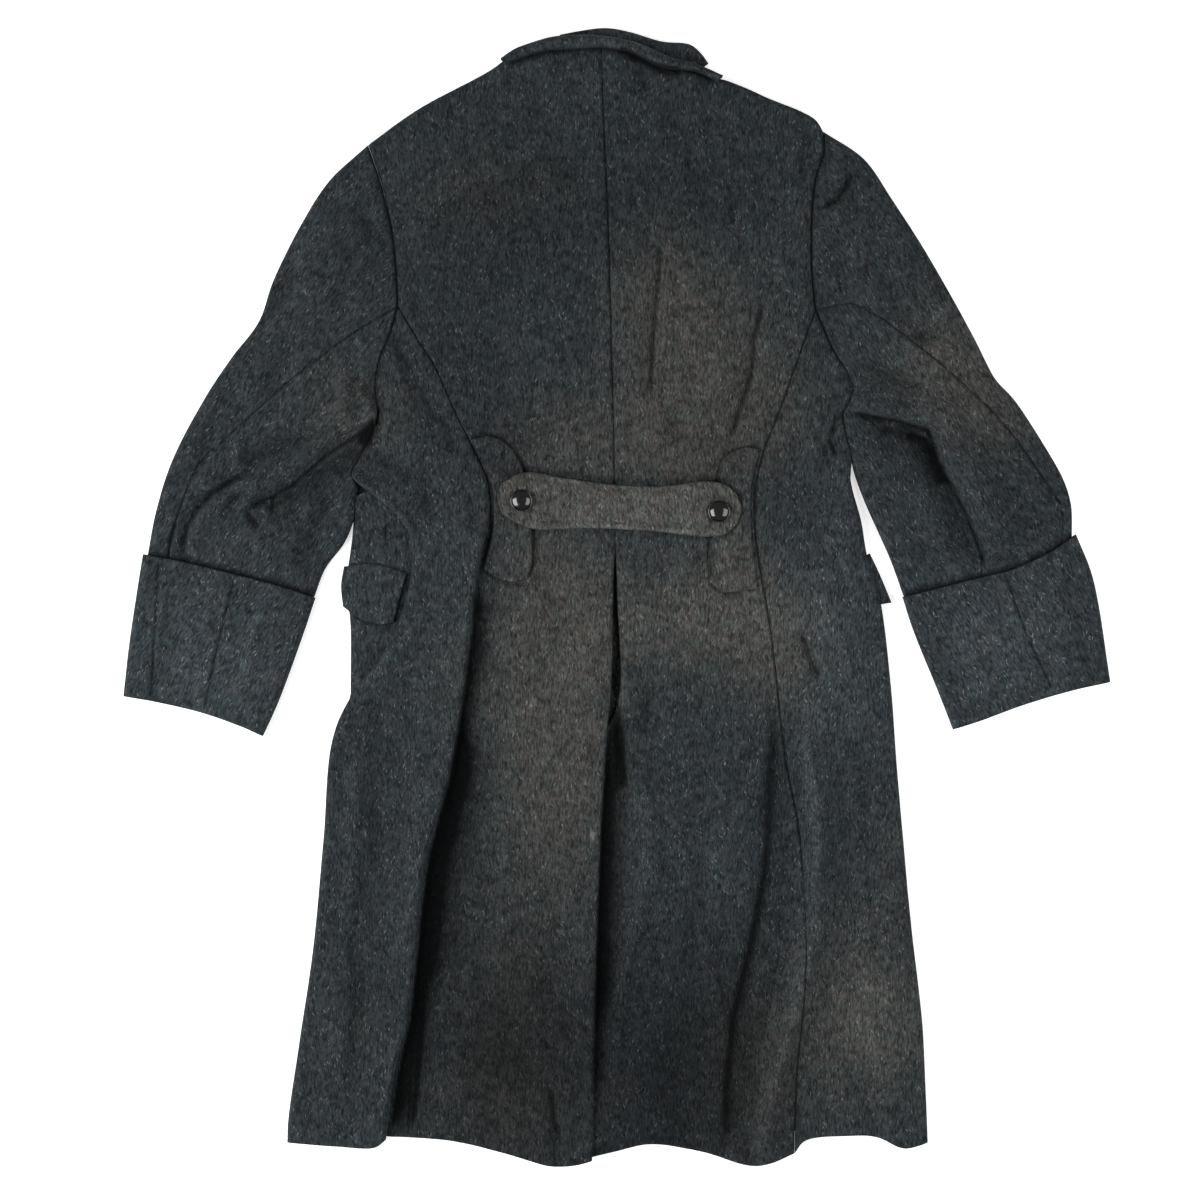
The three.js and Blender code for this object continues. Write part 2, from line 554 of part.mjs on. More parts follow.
function panel(name, edges, { height, seams = {}, rolls = {}, wall = WALL }) {
  const grid = insetSeams(respacedPatch(edges, rolls), seams);
  const { outer, inner } = drapeGrid(grid, height, rolls, wall);
  return shell(name, outer, inner);
}

// Back and side panels, with as many cells as each stretch of their edges needs
const BACK_COLUMNS = 10;
const SIDE_COLUMNS = 5;
const CENTRE_ROWS = 16;
const PRINCESS_ROWS = 12;
const SKIRT_ROWS = 24;
const ARMHOLE_UPPER_CELLS = 6;
const ARMHOLE_LOWER_CELLS = 5;
const SIDE_ROWS = { aboveBay: 3, intoBay: 4, outOfBay: 6, below: 16 };
const APEX_INSET = 2;
const ARMPIT_ROWS = 3;

const SEAM = SEAM_GAP / 2;
const BOTH_SEAMS = { left: SEAM, right: SEAM };
const armholeLeft = new Line(ARMHOLE_LEFT);
const armholeRight = new Line(ARMHOLE_RIGHT);
const leftSplit = armholeLeft.lengthAt(PRINCESS_ON_ARMHOLE_LEFT);
const rightSplit = armholeRight.lengthAt(PRINCESS_ON_ARMHOLE_RIGHT);
const armholeRuns = (line, split) => ({
  upper: line.run(ARMHOLE_UPPER_CELLS, { to: split, rollFirst: true }),
  lower: line.run(ARMHOLE_LOWER_CELLS, { from: split, rollLast: true }),
  floor: line.run(ARMHOLE_UPPER_CELLS, { rollFirst: true }),
});
const armhole = {
  left: armholeRuns(armholeLeft, leftSplit),
  right: armholeRuns(armholeRight, rightSplit),
};
const princessLeft = new Line(PRINCESS_LEFT).run(PRINCESS_ROWS);
const princessRight = new Line(PRINCESS_RIGHT).run(PRINCESS_ROWS + SKIRT_ROWS);
const centreBack = new Line(CENTRE_BACK).run(CENTRE_ROWS, { rollFirst: true });
const foldLeft = new Line(FOLD_LEFT);
const underFoldLeft = new Line(UNDER_FOLD_LEFT);

function skirtEdge(line) {
  const seam = line.run(1, { to: line.lengthAt(FOLD_STARTS) });
  return join(seam, line.run(SKIRT_ROWS, { from: line.lengthAt(FOLD_STARTS) }));
}

function backLeft() {
  const left = join(armhole.left.upper, princessLeft, skirtEdge(underFoldLeft));
  const right = join(centreBack, new Line(VENT_UPPER).run(left.length - centreBack.length));
  const top = new Line(SHOULDER_LEFT).run(BACK_COLUMNS);
  const bottom = new Line(HEM_BACK_LEFT).run(BACK_COLUMNS);
  return panel("back_left", { top, bottom, left, right }, {
    height: backLeftHeight,
    seams: BOTH_SEAMS,
    rolls: { top: { foot: shoulderFoot } },
  });
}

function backRight() {
  const right = join(armhole.right.upper, princessRight);
  const left = join(centreBack, new Line(VENT_UNDER).run(right.length - centreBack.length));
  const top = new Line(SHOULDER_RIGHT).run(BACK_COLUMNS);
  const bottom = new Line(HEM_BACK_RIGHT).run(BACK_COLUMNS);
  return panel("back_right", { top, bottom, left, right }, {
    height: backRightHeight,
    seams: BOTH_SEAMS,
    rolls: { top: { foot: shoulderFoot } },
  });
}

// A short straight edge with as many points as a run of so many cells that rolls at one or both ends
function rolledBetween(from, to, cells, rolledEnds) {
  return straight(from, to, cells + rolledEnds * (ROLL_ANGLES.length - 1));
}

function straight(from, to, cells) {
  return Array.from({ length: cells + 1 }, (_, i) => [
    lerp(from[0], to[0], i / cells),
    lerp(from[1], to[1], i / cells),
  ]);
}

// A side edge starts to roll under a little above the armpit
const rollsBelow = (row) => ({ strength: (m) => smooth((m - row + ARMPIT_ROWS) / ARMPIT_ROWS) });

function sideLeft() {
  const side = new Line(SIDE_LEFT);
  const [top, deepest, foot] = [BAY_TOP, BAY_DEEPEST, BAY_FOOT].map((row) => side.lengthAt(row));
  const rowsAbove = armhole.left.lower.length - 1;
  const left = join(
    armhole.left.lower,
    side.run(SIDE_ROWS.aboveBay, { to: top }),
    side.run(SIDE_ROWS.intoBay, { from: top, to: deepest }),
    side.run(SIDE_ROWS.outOfBay, { from: deepest, to: foot }),
    side.run(SIDE_ROWS.below, { from: foot }),
  );
  const right = join(princessLeft, skirtEdge(foldLeft));
  left[0] = armholeLeft.at(leftSplit + APEX_INSET);
  right[0] = new Line(PRINCESS_LEFT).at(APEX_INSET);
  const edges = {
    top: rolledBetween(left[0], right[0], SIDE_COLUMNS, 2),
    bottom: new Line(HEM_SIDE_LEFT).run(SIDE_COLUMNS, { rollFirst: true, rollLast: true }),
    left,
    right,
  };
  const bayFrom = rowsAbove + SIDE_ROWS.aboveBay;
  const bayTo = bayFrom + SIDE_ROWS.intoBay + SIDE_ROWS.outOfBay;
  return panel("side_left", edges, {
    height: sideLeftHeight,
    seams: BOTH_SEAMS,
    rolls: {
      left: { foot: (m) => (m > bayFrom && m <= bayTo ? WRAP_FOOT : FOOT), ...rollsBelow(rowsAbove) },
      right: {
        foot: (m, edge) => backLeftHeight(edge) + SEAM_GAP,
        strength: (m, edge) => foldStrength(edge[1]),
      },
    },
  });
}

function sideRight() {
  const rowsAbove = armhole.right.lower.length - 1;
  const side = new Line(SIDE_RIGHT).run(princessRight.length - 1 - rowsAbove);
  const right = join(armhole.right.lower, side);
  const left = [...princessRight];
  left[0] = new Line(PRINCESS_RIGHT).at(APEX_INSET);
  right[0] = armholeRight.at(rightSplit + APEX_INSET);
  const edges = {
    top: rolledBetween(left[0], right[0], SIDE_COLUMNS, 1),
    bottom: new Line(HEM_SIDE_RIGHT).run(SIDE_COLUMNS, { rollLast: true }),
    left,
    right,
  };
  return panel("side_right", edges, {
    height: drape,
    seams: BOTH_SEAMS,
    rolls: { right: { foot: FOOT, ...rollsBelow(rowsAbove) } },
  });
}

// Fronts, flat on the surface, the right one lapped over the left
const shoulderLeft = new Line(SHOULDER_LEFT);
const shoulderRight = new Line(SHOULDER_RIGHT);
const LAP_ALONG_RIGHT = 95;
const LAP_ALONG_LEFT = 60;
const FRONT_ROWS = 14;
const FRONT_COLUMNS = { shoulder: 4, lap: 1, wideShoulder: 6 };
const HEM_SETBACK = 12;

function frontLeft() {
  const left = join(armhole.left.floor, new Line(FRONT_EDGE_LEFT).run(FRONT_ROWS));
  const lap = shoulderRight.run(FRONT_COLUMNS.lap, { to: LAP_ALONG_RIGHT });
  const top = join(shoulderLeft.run(FRONT_COLUMNS.shoulder), lap);
  const corner = top[top.length - 1];
  const right = straight(corner, [LAP_HALF_WIDTH, FRONT_HEM], left.length - 1);
  const bottom = straight(left[left.length - 1], right[right.length - 1], top.length - 1);
  const height = () => FLOOR_TOP;
  return panel("front_left", { top, bottom, left, right }, { height, seams: { left: SEAM } });
}

function frontRight() {
  const side = new Line(SIDE_RIGHT);
  const right = join(armhole.right.floor, side.run(FRONT_ROWS, { to: side.length - HEM_SETBACK }));
  const lap = shoulderLeft.run(FRONT_COLUMNS.lap, { from: shoulderLeft.length - LAP_ALONG_LEFT });
  const top = join(lap, shoulderRight.run(FRONT_COLUMNS.wideShoulder));
  const left = straight(top[0], [-LAP_HALF_WIDTH, FRONT_HEM], right.length - 1);
  const bottom = straight(left[left.length - 1], right[right.length - 1], top.length - 1);
  const height = ([across]) =>
    lerp(FLOOR_TOP, LAPPED_TOP, smooth((LAP_DOWN_BY - across) / (LAP_DOWN_BY - LAP_RAISED_TO)));
  return panel("front_right", { top, bottom, left, right }, { height, seams: { right: SEAM } });
}

const WRAP_COLUMNS = 3;
const WRAP_ROWS = 9;

// The front's side edge, turned up over the left side where the side panel has slid back from it
function frontWrapLeft() {
  const edges = {
    top: new Line(WRAP_TOP_EDGE).run(WRAP_COLUMNS, { rollFirst: true }),
    bottom: new Line(WRAP_BOTTOM).run(WRAP_COLUMNS, { rollFirst: true }),
    left: new Line(WRAP_LEFT).run(WRAP_ROWS),
    right: new Line(WRAP_RIGHT).run(WRAP_ROWS),
  };
  return panel("front_wrap_left", edges, { height: () => WRAP_TOP, rolls: { left: { foot: FOOT } } });
}

// Sleeves. The topsleeve runs from the elbow seam round the outer edge and back underneath to the inner edge.
const SLEEVE_ROWS = 16;
const INNER_EDGE_FROM_CORNER = 2;

function sleeve(side, tables) {
  const wrist = new Line(tables.cuffTop);
  const outerEnd = SLEEVE_FROM_CUFF_CORNER;
  const elbowEnd = ELBOW_ON_CUFF[side];
  const innerEnd = wrist.length - INNER_EDGE_FROM_CORNER;
  const outerEdge = new Line([...tables.outer, wrist.at(outerEnd)]).run(SLEEVE_ROWS);
  const elbow = new Line([...tables.elbow, wrist.at(elbowEnd)]).run(SLEEVE_ROWS);
  const innerEdge = new Line([...tables.inner, wrist.at(innerEnd)]).run(SLEEVE_ROWS);
  const { upper, lower, floor } = armhole[side];
  const wristTo = (end) => wrist.run(ARMHOLE_UPPER_CELLS, { from: outerEnd, to: end, rollFirst: true });
  const layer = (top, end, right) =>
    respacedPatch({ top, bottom: wristTo(end), left: outerEdge, right }, { left: true });
  const upperGrid = insetSeams(layer(upper, elbowEnd, elbow), { top: SEAM, bottom: WRIST_GAP, right: SEAM });
  const floorGrid = insetSeams(layer(floor, innerEnd, innerEdge), { top: SEAM, bottom: WRIST_GAP });
  const under = {
    top: lower,
    bottom: wrist.run(ARMHOLE_LOWER_CELLS, { from: elbowEnd, to: innerEnd, rollLast: true }),
    left: elbow,
    right: innerEdge,
  };
  const { outer, inner } = wrapRound(upperGrid, floorGrid);
  return [
    shell(`sleeve_${side}_top`, outer, inner),
    panel(`sleeve_${side}_under`, under, {
      height: drape,
      seams: { top: SEAM, bottom: WRIST_GAP, left: SEAM },
      rolls: { right: { foot: FOOT } },
    }),
  ];
}

// Both faces of cloth that lies on the surface, turns up round its outer edge and comes back on top
function wrapRound(upperGrid, floorGrid) {
  const crest = ROLL_ANGLES.length - 1;
  const outer = [];
  const inner = [];
  upperGrid.forEach((upperRow, i) => {
    const radius = drape(upperRow[crest]) / 2;
    // sign is 1 on the upper layer and -1 on the lower one
    const place = (row, j, sign) => {
      const [across, up] = row[j];
      if (j > crest) {
        const top = sign > 0 ? drape(row[j]) : 0;
        return { out: [across, up, top], back: [across, up, top - sign * WALL] };
      }
      const angle = radians(ROLL_ANGLES[j]);
      const [dx, dy] = towards(row[0], row[crest]);
      const inwards = WALL * Math.sin(angle);
      return {
        out: [across, up, radius + sign * radius * Math.cos(angle)],
        back: [across + dx * inwards, up + dy * inwards, radius + sign * (radius - WALL) * Math.cos(angle)],
      };
    };
    const lower = floorGrid[i].map((_, j) => place(floorGrid[i], j, -1)).reverse();
    const upper = upperRow.map((_, j) => place(upperRow, j, 1)).slice(1);
    outer.push([...lower, ...upper].map((spot) => spot.out));
    inner.push([...lower, ...upper].map((spot) => spot.back));
  });
  return { outer, inner };
}

// A turned-back cuff is a flattened tube of double cloth
const CUFF_COLUMNS = 8;
const CUFF_ROWS = 5;

function cuff(side, tables) {
  const bothEnds = { rollFirst: true, rollLast: true };
  const edges = {
    top: new Line(tables.cuffTop).run(CUFF_COLUMNS, bothEnds),
    bottom: new Line(tables.cuffBottom).run(CUFF_COLUMNS, bothEnds),
    left: new Line(tables.cuffOuter).run(CUFF_ROWS),
    right: new Line(tables.cuffInner).run(CUFF_ROWS),
  };
  const grid = insetSeams(respacedPatch(edges, { left: true, right: true }), { top: SEAM });
  const crest = ROLL_ANGLES.length - 1;
  const last = grid[0].length - 1;
  const height = (place) => Math.max(CUFF_LOWEST, drape(place) + CUFF_PROUD);
  const outer = [];
  const inner = [];
  grid.forEach((row) => {
    const spotOn = (point, j, sign) => {
      const fromEnd = Math.min(j, last - j);
      if (fromEnd > crest) {
        const z = sign > 0 ? height(point) : 0;
        return { out: [...point, z], back: [...point, z - sign * CUFF_WALL] };
      }
      const edge = j <= crest ? row[0] : row[last];
      const crestPoint = j <= crest ? row[crest] : row[last - crest];
      const radius = height(crestPoint) / 2;
      const angle = radians(ROLL_ANGLES[fromEnd]);
      const [dx, dy] = towards(edge, crestPoint);
      const inwards = CUFF_WALL * Math.sin(angle);
      const hollow = radius + sign * (radius - CUFF_WALL) * Math.cos(angle);
      return {
        out: [...point, radius + sign * radius * Math.cos(angle)],
        back: [point[0] + dx * inwards, point[1] + dy * inwards, hollow],
      };
    };
    const face = (sign) => row.map((point, j) => spotOn(point, j, sign));
    const ring = [...face(1), ...face(-1).reverse().slice(1, -1)];
    outer.push(ring.map((spot) => spot.out));
    inner.push(ring.map((spot) => spot.back));
  });
  return shell(`cuff_${side}`, outer, inner, true);
}

// Half belt, tabs, flaps and buttons, each lying on what carries it
const onCloth = (under) => (place) => under(place) + SEAT + WALL;
const beltHeight = (place) => {
  const overTab = smooth((Math.abs(place[0]) - BELT_UNDER_FROM) / (BELT_UNDER_TO - BELT_UNDER_FROM));
  return drape(place) + SEAT + WALL + overTab * (SEAT + WALL);
};

function flatPiece(name, { top, bottom, left, right, columns, rows, height }) {
  const edges = {
    top: new Line(top).run(columns),
    bottom: new Line(bottom).run(columns),
    left: new Line(left).run(rows),
    right: new Line(right).run(rows),
  };
  return panel(name, edges, { height });
}

const FLAT_PIECES = {
  half_belt: {
    top: BELT_TOP,
    bottom: BELT_BOTTOM,
    left: BELT_LEFT_END,
    right: BELT_RIGHT_END,
    columns: 24,
    rows: 4,
    height: beltHeight,
  },
  tab_left: {
    top: TAB_LEFT_TOP,
    bottom: TAB_LEFT_BOTTOM,
    left: TAB_LEFT_OUTER,
    right: TAB_LEFT_INNER,
    columns: 4,
    rows: 10,
    height: onCloth(backLeftHeight),
  },
  tab_right: {
    top: TAB_RIGHT_TOP,
    bottom: TAB_RIGHT_BOTTOM,
    left: TAB_RIGHT_INNER,
    right: TAB_RIGHT_OUTER,
    columns: 4,
    rows: 10,
    height: onCloth(backRightHeight),
  },
  flap_left: {
    top: FLAP_LEFT_TOP,
    bottom: FLAP_LEFT_BOTTOM,
    left: FLAP_LEFT_OUTER,
    right: FLAP_LEFT_INNER,
    columns: 6,
    rows: 5,
    height: () => WRAP_TOP + SEAM_GAP + WALL,
  },
  flap_right: {
    top: [FLAP_RIGHT_INNER[0], FLAP_RIGHT_OUTER[0]],
    bottom: [FLAP_RIGHT_INNER[2], FLAP_RIGHT_OUTER[2]],
    left: FLAP_RIGHT_INNER,
    right: FLAP_RIGHT_OUTER,
    columns: 2,
    rows: 5,
    height: () => FOOT + SEAM_GAP + WALL,
  },
};

const SEAT_SAMPLES = [0, 45, 90, 135, 180, 225, 270, 315];

// The belt's highest point under a button carries it
function button(name, [across, up]) {
  const around = SEAT_SAMPLES.map((angle) => {
    const turn = radians(angle);
    return beltHeight([across + BUTTON_RADIUS * Math.cos(turn), up + BUTTON_RADIUS * Math.sin(turn)]);
  });
  const seat = Math.max(...around) + SEAM_GAP;
  const domeRadius = BUTTON_RADIUS - BUTTON_RIM;
  const rimTop = BUTTON_HEIGHT * BUTTON_RIM_AT;
  const { foot, lip, dip } = BUTTON_BEVEL;
  const dome = DOME_ANGLES.map((angle) => [
    domeRadius * Math.cos(radians(angle)),
    rimTop + (BUTTON_HEIGHT - rimTop) * Math.sin(radians(angle)),
  ]);
  const profile = [
    [0, 0],
    [BUTTON_RADIUS - foot, 0],
    [BUTTON_RADIUS, foot],
    [BUTTON_RADIUS, rimTop - lip],
    [BUTTON_RADIUS - lip, rimTop],
    [domeRadius, rimTop - dip],
    ...dome,
    [0, BUTTON_HEIGHT],
  ];
  const outline = profile.map(([radius, z]) => new THREE.Vector2(radius, z));
  const geometry = new THREE.LatheGeometry(outline, BUTTON_SIDES);
  geometry.rotateX(Math.PI / 2);
  const mesh = solid(name, geometry, "glossy");
  mesh.position.set(across, up, seat);
  return mesh;
}

// Collar: a thick rolled band over the back's neck edge, and a leaf that shows beyond it
const BAND_COLUMNS = 20;
const BAND_CREST = 23;
const BAND_DROP = 11;
const BAND_ROOM = 1;
const BAND_ANGLES = [30, 60, 90];
const BAND_PROFILE = [
  { across: 0, rise: 0 },
  { across: 0.14, rise: 0.62 },
  { across: 0.34, rise: 0.94 },
  { across: 0.56, rise: 1 },
];
const LEAF_TOP = 9;
const LEAF_SPAN = { from: -80, to: 100 };
const LEAF_COLUMNS = 14;

function collarRoll() {
  const low = new Line(NECK_LOW).run(BAND_COLUMNS);
  const high = new Line(NECK_HIGH).run(BAND_COLUMNS);
  const outer = [];
  const inner = [];
  low.forEach((lowPoint, j) => {
    const width = apart(lowPoint, high[j]);
    const [dx, dy] = towards(lowPoint, high[j]);
    const start = drape(lowPoint) + SEAT + COLLAR_WALL;
    const crestAt = BAND_PROFILE[BAND_PROFILE.length - 1].across * width;
    const overLeaf = lowPoint[0] > LEAF_SPAN.from && lowPoint[0] < LEAF_SPAN.to;
    const foot = overLeaf ? LEAF_TOP + SEAM_GAP : FOOT;
    const drop = Math.min(BAND_DROP, BAND_CREST - foot - BAND_ROOM);
    const rising = BAND_PROFILE.map(({ across, rise }) => [across * width, lerp(start, BAND_CREST, rise)]);
    const falling = BAND_ANGLES.map((angle) => [
      crestAt + (width - crestAt) * Math.sin(radians(angle)),
      BAND_CREST - drop * (1 - Math.cos(radians(angle))),
    ]);
    const section = [...rising, ...falling, [width, foot]];
    const backs = section.map(([across, z], k) => {
      if (k === 0) return [across, z - COLLAR_WALL];
      if (k === section.length - 1) return [across - COLLAR_WALL, z];
      const [ux, uz] = towards(section[k - 1], section[k + 1]);
      return [across + uz * COLLAR_WALL, z - ux * COLLAR_WALL];
    });
    const lift = ([across, z]) => [lowPoint[0] + dx * across, lowPoint[1] + dy * across, z];
    outer.push(section.map(lift));
    inner.push(backs.map(lift));
  });
  return shell("collar_roll", outer, inner);
}

function collarLeaf() {
  const end = (row) => new Line([LEAF_HIGH.at(row), LEAF_LOW.at(row)]).run(1, { rollFirst: true });
  const edges = {
    top: new Line(LEAF_HIGH).run(LEAF_COLUMNS),
    bottom: new Line(LEAF_LOW).run(LEAF_COLUMNS),
    left: end(0),
    right: end(-1),
  };
  return panel("collar_leaf", edges, {
    height: () => LEAF_TOP,
    rolls: { top: { foot: 0 } },
    wall: COLLAR_WALL,
  });
}

const LEFT_ARM = {
  outer: SLEEVE_LEFT_OUTER,
  inner: SLEEVE_LEFT_INNER,
  elbow: ELBOW_LEFT,
  cuffTop: CUFF_LEFT_TOP,
  cuffBottom: CUFF_LEFT_BOTTOM,
  cuffOuter: CUFF_LEFT_OUTER,
  cuffInner: CUFF_LEFT_INNER,
};
const RIGHT_ARM = {
  outer: SLEEVE_RIGHT_OUTER,
  inner: SLEEVE_RIGHT_INNER,
  elbow: ELBOW_RIGHT,
  cuffTop: CUFF_RIGHT_TOP,
  cuffBottom: CUFF_RIGHT_BOTTOM,
  cuffOuter: CUFF_RIGHT_OUTER,
  cuffInner: CUFF_RIGHT_INNER,
};

const coat = new THREE.Group();
coat.add(
  frontLeft(),
  frontRight(),
  frontWrapLeft(),
  backLeft(),
  backRight(),
  sideLeft(),
  sideRight(),
  ...sleeve("left", LEFT_ARM),
  ...sleeve("right", RIGHT_ARM),
  cuff("left", LEFT_ARM),
  cuff("right", RIGHT_ARM),
  ...Object.entries(FLAT_PIECES).map(([name, piece]) => flatPiece(name, piece)),
  collarRoll(),
  collarLeaf(),
  ...Object.entries(BUTTON_PLACES).map(([name, place]) => button(name, place)),
);

export default coat;
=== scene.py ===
# A military greatcoat that lies flat on its front, back uppermost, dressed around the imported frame.
#
# Plan sizes and heights are in millimetres: across is +X, up towards the collar is +Y, and heights count
# from the surface that the coat lies on. Each cloth piece is a grid between four smooth edges. Its outer
# face follows the height of the laid cloth, and its inner face lies one thickness below.

import logging
import math
from collections.abc import Callable, Sequence
from dataclasses import dataclass
from enum import Enum

import bpy
import numpy as np
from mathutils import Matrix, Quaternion, Vector

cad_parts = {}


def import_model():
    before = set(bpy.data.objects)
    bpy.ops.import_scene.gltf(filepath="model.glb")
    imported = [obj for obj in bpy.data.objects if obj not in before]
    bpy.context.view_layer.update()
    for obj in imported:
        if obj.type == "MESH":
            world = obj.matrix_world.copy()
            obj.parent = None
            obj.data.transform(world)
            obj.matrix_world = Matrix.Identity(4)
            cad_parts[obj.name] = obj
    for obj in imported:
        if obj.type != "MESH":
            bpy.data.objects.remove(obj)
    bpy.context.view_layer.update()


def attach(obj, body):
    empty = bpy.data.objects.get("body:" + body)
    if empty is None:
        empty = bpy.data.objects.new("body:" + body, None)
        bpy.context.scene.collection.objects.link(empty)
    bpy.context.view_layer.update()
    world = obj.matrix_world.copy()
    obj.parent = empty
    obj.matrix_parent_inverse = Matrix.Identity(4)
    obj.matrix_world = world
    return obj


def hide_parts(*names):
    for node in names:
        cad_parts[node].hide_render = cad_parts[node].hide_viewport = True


Array = np.ndarray
Point = tuple[float, float]
Table = Sequence[Point]
Height = Callable[[Array], Array]
Colour = tuple[float, float, float]

log = logging.getLogger("greatcoat")

MM = 0.001
BODY = "root"
TINY = 1e-6

# Cloth and the layers that it lies on
WALL = 3.0
COLLAR_WALL = 2.6
SEAM_GAP = 0.3
ROLL = 7.0
ROLL_ANGLES = np.radians([90.0, 75.0, 60.0, 45.0, 30.0, 15.0, 0.0])
FLOOR_TOP = WALL
LAPPED_TOP = 2 * WALL + SEAM_GAP
FOOT = FLOOR_TOP + SEAM_GAP
WRAP_TOP = 10.0
WRAP_FOOT = WRAP_TOP + 0.4
LAP_HALF_WIDTH = 75.0
LAP_RAISED_TO = 110.0
LAP_DOWN_BY = 142.0
LAP_MARGIN = 45.0
FRONT_HEM = -560.0
SEAT = 0.4

# How edges turn down and round off, and how much of a narrow row the lanes at one side may take
ROLL_CLEARANCE = 0.2
ROLL_STARTS = 18.0
ROUNDING = 0.8
LANE_SHARE = 0.3

# Sizes of the cells that the grids are drawn with
PANEL_CELL = (2.35, 4.4)
SLEEVE_CELL = (2.65, 2.7)
SMALL_CELL = (1.6, 1.6)
HIDDEN_CELL = (14.0, 14.0)


class Side(Enum):
    """The four sides of a piece's grid."""

    LEFT = "left"
    RIGHT = "right"
    TOP = "top"
    BOTTOM = "bottom"


class Edge(Enum):
    """How an edge of cloth ends. The value lists how far its closest lanes lie from it."""

    ELBOW = (0.15, 0.6, 1.2, 2.2, 3.6)
    SEAM = (0.15, 0.7, 1.4, 2.4, 4.0)
    FREE = (0.0, 0.3, 0.8, 1.5, 2.8)
    ROLLED = tuple(ROLL * (1 - np.sin(ROLL_ANGLES)))
    WRIST = (0.05, 1.4)


class Arm(Enum):
    """The coat's two sleeves, named as they lie in the picture."""

    LEFT = "left"
    RIGHT = "right"


class Held(Enum):
    """How a sheet of cloth is held."""

    LAID = "laid"
    FOLDED = "folded"


def smooth(value: Array) -> Array:
    """Returns three t squared minus two t cubed, with t the value held between 0 and 1."""
    t = np.clip(value, 0.0, 1.0)
    return t * t * (3.0 - 2.0 * t)


def blend(start: Array, end: Array, share: Array) -> Array:
    """Returns the value that lies the given share of the way from start to end."""
    return start + (end - start) * share


def bell(distance: Array, reach: float) -> Array:
    """Returns half of one plus the cosine of distance over reach: 1 at no distance and 0 from reach on."""
    return 0.5 + 0.5 * np.cos(np.pi * np.clip(distance / reach, 0.0, 1.0))


def level(height: float) -> Height:
    """Returns a height function that is the same everywhere."""
    return lambda place: np.full(place.shape[:-1], height)


def raised(below: Height, step: float) -> Height:
    """Returns the height of what lies a step above another surface."""
    return lambda place: below(place) + step


def unit(steps: Array) -> Array:
    """Returns rows of steps, each with a length of one."""
    return steps / np.linalg.norm(steps, axis=-1, keepdims=True)


class PlanLine:
    """A plan line that is measured by its own length.

    Args:
        dense: Close points of the line, one row each.
        corners: Lengths at which the line turns a corner.
    """

    STEPS = 24

    def __init__(self, dense: Array, corners: Sequence[float] = ()) -> None:
        self.dense = dense
        self.lengths = np.concatenate([[0.0], np.cumsum(np.linalg.norm(np.diff(dense, axis=0), axis=1))])
        self.corners = tuple(corners)

    @classmethod
    def through(cls, table: Table) -> "PlanLine":
        """Draws a centripetal curve through a table of points, with a fixed number of steps a row.

        Each span is a cubic. Its end slopes weigh the steps on either side by the square roots of their
        lengths.
        """
        points = np.array(table, float)
        ends = np.vstack([2 * points[0] - points[1], points, 2 * points[-1] - points[-2]])
        p0, p1, p2, p3 = ends[:-3], ends[1:-2], ends[2:-1], ends[3:]
        steps = (p1 - p0, p2 - p1, p3 - p2)
        d0, d1, d2 = (np.sqrt(np.linalg.norm(step, axis=1))[:, None] for step in steps)
        slope1 = ((p1 - p0) / d0 - (p2 - p0) / (d0 + d1) + (p2 - p1) / d1) * d1
        slope2 = ((p2 - p1) / d1 - (p3 - p1) / (d1 + d2) + (p3 - p2) / d2) * d1
        u = np.linspace(0.0, 1.0, cls.STEPS, endpoint=False)[None, :, None]
        square = 3 * (p2 - p1) - 2 * slope1 - slope2
        cube = 2 * (p1 - p2) + slope1 + slope2
        curve = p1[:, None] + slope1[:, None] * u + square[:, None] * u**2 + cube[:, None] * u**3
        return cls(np.vstack([curve.reshape(-1, 2), points[-1:]]))

    @classmethod
    def joined(cls, *lines: "PlanLine") -> "PlanLine":
        """Joins lines end to end, and keeps a corner where two of them meet."""
        dense = np.vstack([lines[0].dense, *(line.dense[1:] for line in lines[1:])])
        ends = np.cumsum([line.length for line in lines])
        return cls(dense, ends[:-1])

    @property
    def length(self) -> float:
        """The whole length of the line."""
        return float(self.lengths[-1])

    def row(self, index: int) -> float:
        """Returns the length at which the line passes a row of its table."""
        return float(self.lengths[index * self.STEPS])

    def at(self, along: Array) -> Array:
        """Returns the plan points at the given lengths, whatever the shape of the array."""
        return np.stack([np.interp(along, self.lengths, self.dense[:, axis]) for axis in (0, 1)], axis=-1)

    def part(self, start: float = 0.0, end: float | None = None) -> "PlanLine":
        """Returns the stretch of the line between two lengths."""
        stop = self.length if end is None else end
        inside = (self.lengths > start + TINY) & (self.lengths < stop - TINY)
        ends = self.at(np.array([start, stop]))
        return PlanLine(np.vstack([ends[:1], self.dense[inside], ends[1:]]))


